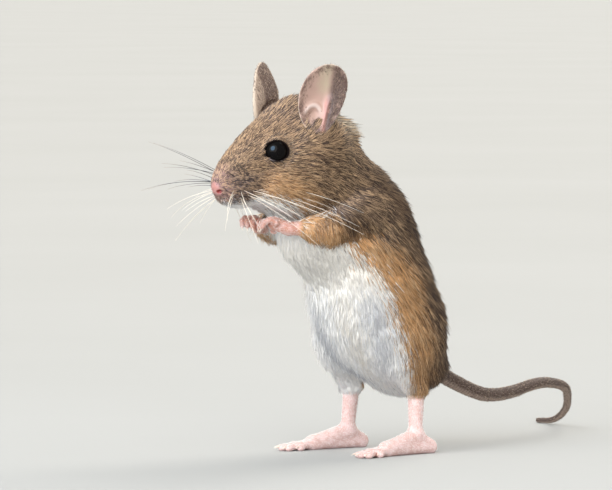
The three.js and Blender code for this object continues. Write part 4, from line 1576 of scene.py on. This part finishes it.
# %% [markdown]
# ## The map for baking
#
# The map lets the coat's colours be baked into an image. For it the skin is unrolled like a barrel: around
# the body's axis, and along it from the tail end to the nose. A tuft keeps to a small patch at its root's
# place there.

# %% Unrolled places
SPINE = smooth_route(np.array([
    [-4, 0, 8], [0, 0, 20], [3, 0, 34], [8, 0, 48],
    [15, 0, 58], [24, 0, 62], [34, 0, 60], [46, 0, 58],
], float), 6)
SPINE_RUN = distances_along(SPINE)
MAP_LEFT, MAP_WIDTH = 0.01, 0.975
MAP_LOW, MAP_HEIGHT = 0.06, 0.88


def unrolled(p):
    """Around the spine and along it, both from 0 to 1, and a 0 to fill up the vector."""
    nearest = in_chunks(lambda some: ((some[:, None] - SPINE) ** 2).sum(2).argmin(1), p)
    nearest = nearest.clip(0, len(SPINE) - 2)
    along = SPINE[nearest + 1] - SPINE[nearest]
    length = np.linalg.norm(along, axis=1)
    offset = p - SPINE[nearest]
    ahead = (offset * along).sum(1) / length
    belly = np.stack([along[:, 2], 0 * length, -along[:, 0]], 1) / length[:, None]
    turn = np.arctan2(offset[:, 1], (offset * belly).sum(1)) / (2 * math.pi) + 0.5
    run = (SPINE_RUN[nearest] + ahead) / SPINE_RUN[-1]
    return np.stack([MAP_LEFT + MAP_WIDTH * turn, MAP_LOW + MAP_HEIGHT * run.clip(-0.05, 1.05), 0 * run], 1)


print("the spine is", round(float(SPINE_RUN[-1])), "mm long")

# %% [markdown]
# ## The coat
#
# Most tufts are soft underfur and some are longer, darker or paler guard hairs. Neighbours lean together, as
# locks of hair do, because part of what turns a tuft is a ripple over the body and only part is its own.

# %% Roots of the coat
TUFT_TRIANGLES = 6
TUFTS_FOR_LENGTH = ([0.6, 1.2, 2.0, 3.0, 4.0], [68, 61, 45, 34, 31])
COAT_SEED = 41
GUARD_SHARE = 0.22
FEATHER = 0.42

density = np.interp(corner_length, *TUFTS_FOR_LENGTH) * coat_share
at_roots, draw = roots(density, COAT_SEED)
root = at_roots(skin_points)
normal = unit_rows(at_roots(corner_normals))
way = in_chunks(lambda p: guided(p, guide_way), root)
length = at_roots(corner_length)
own = draw.normal(size=(4, len(root)))
astray = draw.normal(size=(len(root), 3)) * [0.6, 1, 1] * (FEATHER * length)[:, None]
marks = markings(root + astray)
tint = draw.random(len(root))
guard = draw.random(len(root)) < GUARD_SHARE
print(len(root), "tufts,", len(root) * TUFT_TRIANGLES, "triangles")

# %% [markdown]
# ## Lean and length
#
# A tuft starts along the guides, is turned a little about the skin's normal, and is then lifted off the skin.
# Hair stands up behind the ear and lies a little flatter where the body is dark. It is short round the eye
# and beside bare skin.

# %% Lean
LIFT = 15
LEAST_LIFT, MOST_LIFT = 6, 50


def turned(way, normal, angle):
    """The way laid on the skin and turned about its normal by an angle in radians."""
    flat = way - normal * (way * normal).sum(1, keepdims=True)
    flat /= np.linalg.norm(flat, axis=1, keepdims=True) + 1e-9
    side = np.cross(normal, flat)
    return flat * np.cos(angle)[:, None] + side * np.sin(angle)[:, None]


swirl = 0.09 * ripple(root, 7, 21) + 0.07 * ripple(root, 2.2, 22) + 0.11 * own[0]
flat = turned(way, normal, swirl)
lift = np.radians(LIFT + 3 * ripple(root, 2.5, 23) + 4 * own[1] + 2 * guard)
lift += np.radians(24) * spot(root, [16.0, 7.6, 70.2], 3.0, 1.2)
lift -= np.radians(4) * marks["marks"][:, 2] * (root[:, 2] < 60)
lift = np.clip(lift, math.radians(LEAST_LIFT), math.radians(MOST_LIFT))
hair_way = flat * np.cos(lift)[:, None] + normal * np.sin(lift)[:, None]
print("tufts are lifted by", np.degrees(lift).mean().round(1), "degrees on average")

# %% Length and width
near_eye = np.where(root[:, 0] > FACE_FROM, smooth(1.15, 1.8, at_roots(around_eye)), 1)
bare_near = smooth(0.0, 0.5, at_roots(bare_share))
hair_length = length * (1 + 0.14 * own[2]).clip(0.6, 1.5) * (0.5 + 0.5 * near_eye) * (1 - 0.45 * bare_near)
hair_length *= 1 + 0.22 * guard
hair_width = (0.105 + 0.032 * hair_length) * (1 + 0.15 * own[3]).clip(0.6, 1.5) * (1 - 0.25 * guard)
print("hair is from", hair_length.min().round(2), "to", hair_length.max().round(2), "mm long")

# %% [markdown]
# ## Dark dots on the pad, and each tuft's tint
#
# Whiskers grow from dark dots, set in rows on the pad beside the nose. Elsewhere a tuft's tint is its own
# draw around the middle, stronger for guard hairs and on the head.

# %% Tint
DOT_HEIGHTS = (59.4, 58.3, 57.2, 56.1, 55.2)
DOTS_AHEAD = np.arange(36.0, 41.6, 1.0)

pad = np.array([
    [ahead + 0.5 * (row % 2), height] for row, height in enumerate(DOT_HEIGHTS) for ahead in DOTS_AHEAD
])
from_dot = np.sqrt(((root[:, None, [0, 2]] - pad) ** 2).sum(2).min(1))
dots = smooth(0.38, 0.2, from_dot) * (root[:, 0] > 35)
contrast = np.where(guard, 1.3, 0.9) * (1 + 0.8 * smooth(54, 60, root[:, 2]))
tint = np.clip(0.5 - 0.8 * dots + (tint - 0.5) * contrast + 0.12 * ripple(root, 3.0, 24), 0, 1)
print(int((dots > 0.5).sum()), "tufts stand on", 2 * len(pad), "dots")

# %% [markdown]
# ## Pieces of the coat
#
# The coat is parted by region and side, so that each piece stays under two hundred thousand triangles. A
# region takes the tufts that the regions before it have left.

# %% Pieces of the coat
SOFTNESS = 0.6

coat_attributes = {
    "way": hair_way,
    "up": normal,
    "size": np.stack([hair_width, hair_width, hair_length], 1) * MM,
    "tint": tint,
    "unwrap": unrolled(root),
    **marks,
}
regions = {
    "muzzle": root[:, 0] > 33.5,
    "head": (root[:, 2] > 56) & (root[:, 0] > 14),
    "shoulders": root[:, 2] > 46,
    "ribs": root[:, 2] > 34,
    "loins": root[:, 2] > 22,
    "haunches": root[:, 2] > -1,
}
coat_pieces = []
free = np.ones(len(root), bool)
for region, within in regions.items():
    here = free & within
    free &= ~within
    for side, sign in SIDES.items():
        mine = here & (root[:, 1] * sign > 0)
        own_attributes = {key: values[mine] for key, values in coat_attributes.items()}
        name = f"coat_{region}_{side}"
        piece = planted(name, tuft, coat_material, placed(root[mine]), own_attributes, SOFTNESS)
        coat_pieces.append(piece)
        print(name, mine.sum(), "tufts,", len(piece.data.polygons), "faces")

# %% [markdown]
# ## Down on the bare parts
#
# Skin that looks bare still has down: short pale hairs on hands and feet, dark ones along the tail, and fine
# ones on the back and the margin of the ears. They are the same tufts, much smaller and further apart.

# %% How the down lies
DOWN = {
    # part: tufts to the square millimetre, length, width, lift in degrees, material
    "hand": (6, 0.45, 0.055, 10, coat_material),
    "foot": (9, 0.5, 0.06, 10, coat_material),
    "tail": (8, 0.7, 0.08, 9, down_material),
    "ear": (15, 0.7, 0.07, 12, down_material),
}
DOWN_SEED = 57


def way_down(part, p):
    """The way that the down lies: towards the finger tips, the toes, the tail's tip or the ear's rim."""
    side = np.where(p[:, 1] >= 0, 1.0, -1.0)
    if part == "hand":
        return np.stack([1 + 0 * side, -0.7 * side, 0 * side], 1)
    if part == "foot":
        ahead = smooth(5.5, 2.5, p[:, 2])
        return np.stack([0.2 + ahead, 0.1 * side, 1.2 * (ahead - 1)], 1)
    if part == "tail":
        run = tail_chain(p)[1]
        step = np.gradient(tail_route, tail_run, axis=0)
        return np.stack([np.interp(run, tail_run, step[:, axis]) for axis in range(3)], 1)
    measures = ear_measures(p)
    across, up, _ = ear_axes(1)
    way = measures[:, :1] * across + (measures[:, 1:2] + 1.3) * up
    return way * np.stack([1 + 0 * side, side, 1 + 0 * side], 1)


def ear_down_share(p):
    """Full on the ear's back, and inside it only towards the margin and the rear half."""
    w, h, through = ear_measures(p).T
    reach = np.hypot(w, h)
    inner = np.maximum(0.55 * smooth(0.55, 0.9, reach), 0.8 * smooth(0.15, 0.45, w))
    return np.where(through < 0, 1.0, inner) * smooth(0.98, 0.88, reach)


down_share = {part: smooth(0.3, 0.6, shares[part]) * smooth(0.4, 1.0, skin_points[:, 2]) for part in DOWN}
down_share["ear"] = down_share["ear"] * ear_down_share(skin_points)
print({part: int((share > 0.5).sum()) for part, share in down_share.items()}, "corners with down")

# %% Pieces of down
down_pieces = []
for number, (part, (thick, long, wide, lift, material)) in enumerate(DOWN.items()):
    at_down, draw = roots(thick * down_share[part], DOWN_SEED + number)
    spots = at_down(skin_points)
    up = unit_rows(at_down(corner_normals))
    own = draw.normal(size=(3, len(spots)))
    flat = turned(way_down(part, spots), up, 0.22 * own[0])
    tilt = np.radians(np.clip(lift + 5 * own[1], 4, 40))[:, None]
    lengths = long * (1 + 0.2 * own[2]).clip(0.5, 1.6)
    piece = planted(f"down_{part}", tuft, material, placed(spots), {
        "way": flat * np.cos(tilt) + up * np.sin(tilt),
        "up": up,
        "size": np.stack([np.full(len(spots), wide)] * 2 + [lengths], 1) * MM,
        "tint": draw.random(len(spots)),
        "unwrap": unrolled(spots),
        "marks": np.tile([1.0, 0, 0], (len(spots), 1)),
        "more_marks": np.zeros((len(spots), 3)),
    })
    down_pieces.append(piece)
    print(piece.name, len(spots), "tufts")

# %% [markdown]
# ## Claws
#
# Each finger and toe ends in a small pale claw: a tapered horn that bends down. One claw is shaped here, and
# the tree that plants the tufts plants it on the tip of every digit.

# %% Shape of a claw
CLAW_STEPS, CLAW_SIDES = 7, 8
CLAW_BEND, CLAW_TAPER, CLAW_TIP = 1.1, 0.7, 0.02


def claw_shape():
    """Rings of corners that narrow along a bend, joined by quads and closed at both ends."""
    t = np.linspace(0, 1, CLAW_STEPS)
    radius = 0.5 * (1 - t) ** CLAW_TAPER + CLAW_TIP
    angles = np.arange(CLAW_SIDES) * 2 * math.pi / CLAW_SIDES
    rings = [
        [[-CLAW_BEND * s * s + r * math.cos(a), 0.7 * r * math.sin(a), s] for a in angles]
        for s, r in zip(t, radius)
    ]
    points = np.array(rings).reshape(-1, 3)
    numbers = list(range(len(points)))
    ends = [numbers[:CLAW_SIDES][::-1], numbers[-CLAW_SIDES:]]
    shape = mesh_object("claw_shape", points, ring_quads(CLAW_STEPS, CLAW_SIDES) + ends)
    attach(shape.data, "along", np.repeat(t, CLAW_SIDES))
    return shape


claw = claw_shape()
print("a claw has", len(claw.data.polygons), "faces")

# %% Claws on fingers and toes
def finger_claws(side):
    """The place, the way and the upper side of the claw on each finger."""
    for _, bend_at, last_at, tip_at in finger_bones(side):
        ahead = unit(tip_at - last_at)
        outward = unit(last_at - bend_at)
        yield tip_at + ahead * 0.15 + outward * 0.12, unit(ahead + 0.45 * outward), outward


def toe_claws(side):
    """The same on each toe, where the upper side is up."""
    for _, joint_at, tip_at in toe_bones(side):
        ahead = unit((tip_at - joint_at) * [1, 1, 0])
        yield tip_at + ahead * 0.3 + [0, 0, 0.22], unit(ahead + [0, 0, 0.22]), np.array([0, 0, 1.0])


CLAWS = {
    # part: claws of one side, width, length
    "hand": (finger_claws, 0.42, 0.95),
    "foot": (toe_claws, 0.5, 1.35),
}
claw_pieces = []
for part, (claws_of, wide, long) in CLAWS.items():
    at, ways, ups = (np.array(rows) for rows in zip(*[one for side in BOTH for one in claws_of(side)]))
    size = np.tile([wide, wide, long], (len(at), 1)) * MM
    piece = planted(f"claws_{part}", claw, claw_material, placed(at), {"way": ways, "up": ups, "size": size})
    piece.data.attributes.remove(piece.data.attributes["OFBake"])
    claw_pieces.append(piece)
    print(piece.name, len(at), "claws")

# %% [markdown]
# ## Whiskers
#
# Whiskers grow in rows from the pad at the side of the muzzle. They are thicker than hair, taper to nothing,
# and bend under their own weight and spring. Each is a line of points that Geometry Nodes turn into a
# curve and then a thin round tube.

# %% Where whiskers point
WHISKER_POINTS, WHISKER_SIDES = 14, 5
ROOT_RADIUS, TIP_RADIUS = 0.07, 0.018
WHISKER_COPIES = 2
WHISKER_SEED = 73
PAD_ROWS = {
    # height on the muzzle: (place ahead, how far forward, sideways and up it points, bend back, length)
    59.6: [
        (37.6, 0.7, 0.5, 0.5, -0.5, 24),
        (38.8, 0.75, 0.5, 0.42, -0.6, 22),
        (40.0, 0.8, 0.4, 0.35, -0.5, 16),
    ],
    58.5: [
        (37.0, -0.85, 0.55, -0.1, 0.0, 26),
        (38.4, 0.75, 0.6, 0.18, -0.6, 24),
        (39.7, 0.75, 0.55, 0.12, -0.6, 18),
        (40.8, 0.7, 0.6, 0.15, -0.5, 13),
    ],
    57.3: [
        (36.6, -0.9, 0.5, -0.12, 0.0, 24),
        (38.0, -0.75, 0.65, -0.2, -0.1, 24),
        (39.3, 0.2, 0.9, -0.1, -0.6, 20),
        (40.6, 0.65, 0.65, -0.1, -0.4, 15),
    ],
    56.2: [
        (36.8, -0.95, 0.4, -0.3, 0.0, 20),
        (38.2, -0.7, 0.6, -0.45, -0.1, 18),
        (39.6, 0.3, 0.75, -0.45, -0.3, 15),
        (40.8, 0.6, 0.5, -0.4, -0.2, 12),
    ],
}


def whisker_lines(side, draw):
    """Each whisker's line, and 1 if it is a dark one. Upper whiskers that point ahead are dark."""
    t = np.linspace(0, 1, WHISKER_POINTS)[:, None]
    for height, row in PAD_ROWS.items():
        for copy, (ahead, forward, outward, up, bend, long) in itertools.product(range(WHISKER_COPIES), row):
            root_at = np.array([ahead, 2.2 + (41.5 - ahead) * 0.42, height])
            root_at += copy * draw.normal(0, 0.35, 3) * [1, 0, 1]
            way = unit(np.array([forward, outward, up]) + draw.normal(0, 0.05 + 0.1 * copy, 3))
            long = long * draw.uniform(0.88, 1.08) * (1 - 0.35 * copy)
            sag = np.array([bend * 0.35, 0, -0.16 - 0.05 * draw.random()])
            line = root_at + long * (way * t + sag * t * t)
            yield mirrored(line, side), float(height > 58 and forward > -0.6)


print(WHISKER_COPIES * sum(len(row) for row in PAD_ROWS.values()), "whiskers on each side")

# %% Whiskers
def whisker_tree():
    """Turns lines into round tubes that are as thick as each point says."""
    tree, entry = new_group("whiskers", {"Material": "NodeSocketMaterial", "Sides": "NodeSocketInt"})
    curve = tree.node("GeometryNodeMeshToCurve", sockets={0: entry["Geometry"]})
    thick = tree.node("GeometryNodeInputNamedAttribute", {"data_type": "FLOAT"}, {"Name": "thick"})
    circle = {"Resolution": entry["Sides"], "Radius": 1.0}
    circle = tree.node("GeometryNodeCurvePrimitiveCircle", sockets=circle)
    tube = {"Curve": curve, "Profile Curve": circle, "Scale": thick, "Fill Caps": True}
    tube = tree.node("GeometryNodeCurveToMesh", sockets=tube)
    tube = tree.node("GeometryNodeSetShadeSmooth", sockets={"Geometry": tube})
    last = tree.node("GeometryNodeSetMaterial", sockets={"Geometry": tube, "Material": entry["Material"]})
    tree.node("NodeGroupOutput", sockets={0: last})
    return tree.tree


def whiskers(name, side, draw):
    """One side's whiskers as one piece."""
    lines, dark = zip(*whisker_lines(side, draw))
    numbers = np.arange(len(lines) * WHISKER_POINTS).reshape(len(lines), WHISKER_POINTS)
    edges = np.stack([numbers[:, :-1], numbers[:, 1:]], -1).reshape(-1, 2)
    along = np.tile(np.linspace(0, 1, WHISKER_POINTS), len(lines))
    piece = mesh_object(name, placed(np.concatenate(lines)), edges=edges.tolist())
    attach(piece.data, "thick", (ROOT_RADIUS + (TIP_RADIUS - ROOT_RADIUS) * along) * MM)
    attach(piece.data, "tint", np.repeat(dark, WHISKER_POINTS))
    attach(piece.data, "along", along)
    grow(piece, tubes, {"Material": whisker_material, "Sides": WHISKER_SIDES})
    return piece


tubes = whisker_tree()
draw = np.random.default_rng(WHISKER_SEED)
whisker_pieces = [whiskers(f"whiskers_{side}", sign, draw) for side, sign in SIDES.items()]
for piece in whisker_pieces:
    size = [round(value / MM, 2) for value in piece.dimensions]
    print(piece.name, len(piece.data.polygons), "faces,", size, "mm")

# %% [markdown]
# ## Floor and light
#
# A pale floor and a pale room give soft light from all around. A wide sun from in front models the form, and
# a low one from behind outlines the coat. A small blue disk is seen only in gloss, for the shine in the eyes.

# %% Floor
FLOOR_RADIUS, FLOOR_CORNERS = 20.0, 96
turns = np.arange(FLOOR_CORNERS) * 2 * math.pi / FLOOR_CORNERS
floor_points = np.stack([FLOOR_RADIUS * np.cos(turns), FLOOR_RADIUS * np.sin(turns), 0 * turns], 1)
floor = mesh_object("floor", floor_points, [range(FLOOR_CORNERS)])
floor_material, tree = new_material("floor")
place = tree.node("ShaderNodeTexCoord", output="Object")
finish_material(tree, {
    "Base Color": tree.mix(tree.noise(place, 6, 4.0), rgb(162, 162, 159), rgb(169, 169, 167)),
    "Roughness": 0.85,
})
floor.data.materials.append(floor_material)
floor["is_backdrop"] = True
print("the floor is", 2 * FLOOR_RADIUS, "m across")

# %% Lights
SUNS = {
    # name: (way to the sun, strength, width in degrees, colour)
    "day": ([0.78, 0.36, 0.5], 4.2, 80, (1.0, 0.98, 0.95)),
    "rim": ([-0.8, -0.3, 0.65], 2.0, 40, (1.0, 0.96, 0.88)),
}
SHINE_WAY, SHINE_DISTANCE = [0.78, 0.29, 0.59], 0.8
SHINE_SIZE, SHINE_POWER, SHINE_COLOUR = 0.62, 26.0, (0.35, 0.65, 1.0)
ROOM_COLOUR, ROOM_STRENGTH = rgb(212, 212, 210), 1.15


def new_light(name, kind, way, strength, colour):
    """A lamp that shines from the way given towards the middle."""
    lamp = bpy.data.lights.new(name, kind)
    lamp.energy, lamp.color = strength, colour
    light = bpy.data.objects.new(name, lamp)
    light.rotation_euler = Vector(way).to_track_quat("Z", "Y").to_euler()
    collection.objects.link(light)
    return light


for name, (way, strength, width, colour) in SUNS.items():
    new_light(name, "SUN", way, strength, colour).data.angle = math.radians(width)
shine = new_light("shine", "AREA", SHINE_WAY, SHINE_POWER, SHINE_COLOUR)
shine.data.shape = "DISK"
shine.data.size = SHINE_SIZE
shine.visible_diffuse = False
shine.location = Vector(AIM) + Vector(SHINE_WAY).normalized() * SHINE_DISTANCE
world = bpy.data.worlds.new("pale room")
bpy.context.scene.world = world
world.use_nodes = True
world.node_tree.nodes["Background"].inputs["Color"].default_value = ROOM_COLOUR
world.node_tree.nodes["Background"].inputs["Strength"].default_value = ROOM_STRENGTH
bpy.context.scene.view_settings.view_transform = "Standard"
print("lights:", [light.name for light in bpy.data.lights])

# %% [markdown]
# ## What each piece stands for
#
# Every piece rides on the one body. The skin stands for all the solids of flesh, and the eyeballs for the
# eyes. Last, the visual model's box is worked out beside the plain model's.

# %% Pieces on the body
FLESH = ["nose", "trunk", "neck", "head", "tail_1", "tail_2", "tail_3", "tail_4"]
LIMBS = ("ear", "hand", "forearm", "upper_arm", "foot", "shank", "thigh")
FLESH += [f"{part}_{side}" for part in LIMBS for side in SIDES]
for form in (tuft, claw):
    bpy.data.objects.remove(form)
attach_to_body(skin, "root")
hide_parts(*FLESH)
for side, piece in eyeballs.items():
    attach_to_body(piece, "root")
    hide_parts(f"eye_{side}")
for piece in coat_pieces + down_pieces + whisker_pieces:
    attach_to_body(piece, "root")
for piece in claw_pieces:
    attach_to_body(piece, "root")
print("the skin stands for", len(FLESH), "solids")

boxes = {"cad": [list(corner) for corner in cad_box], "visual": [list(corner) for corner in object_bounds()]}
print("visual model's box", [[round(value / MM, 1) for value in corner] for corner in boxes["visual"]], "mm")
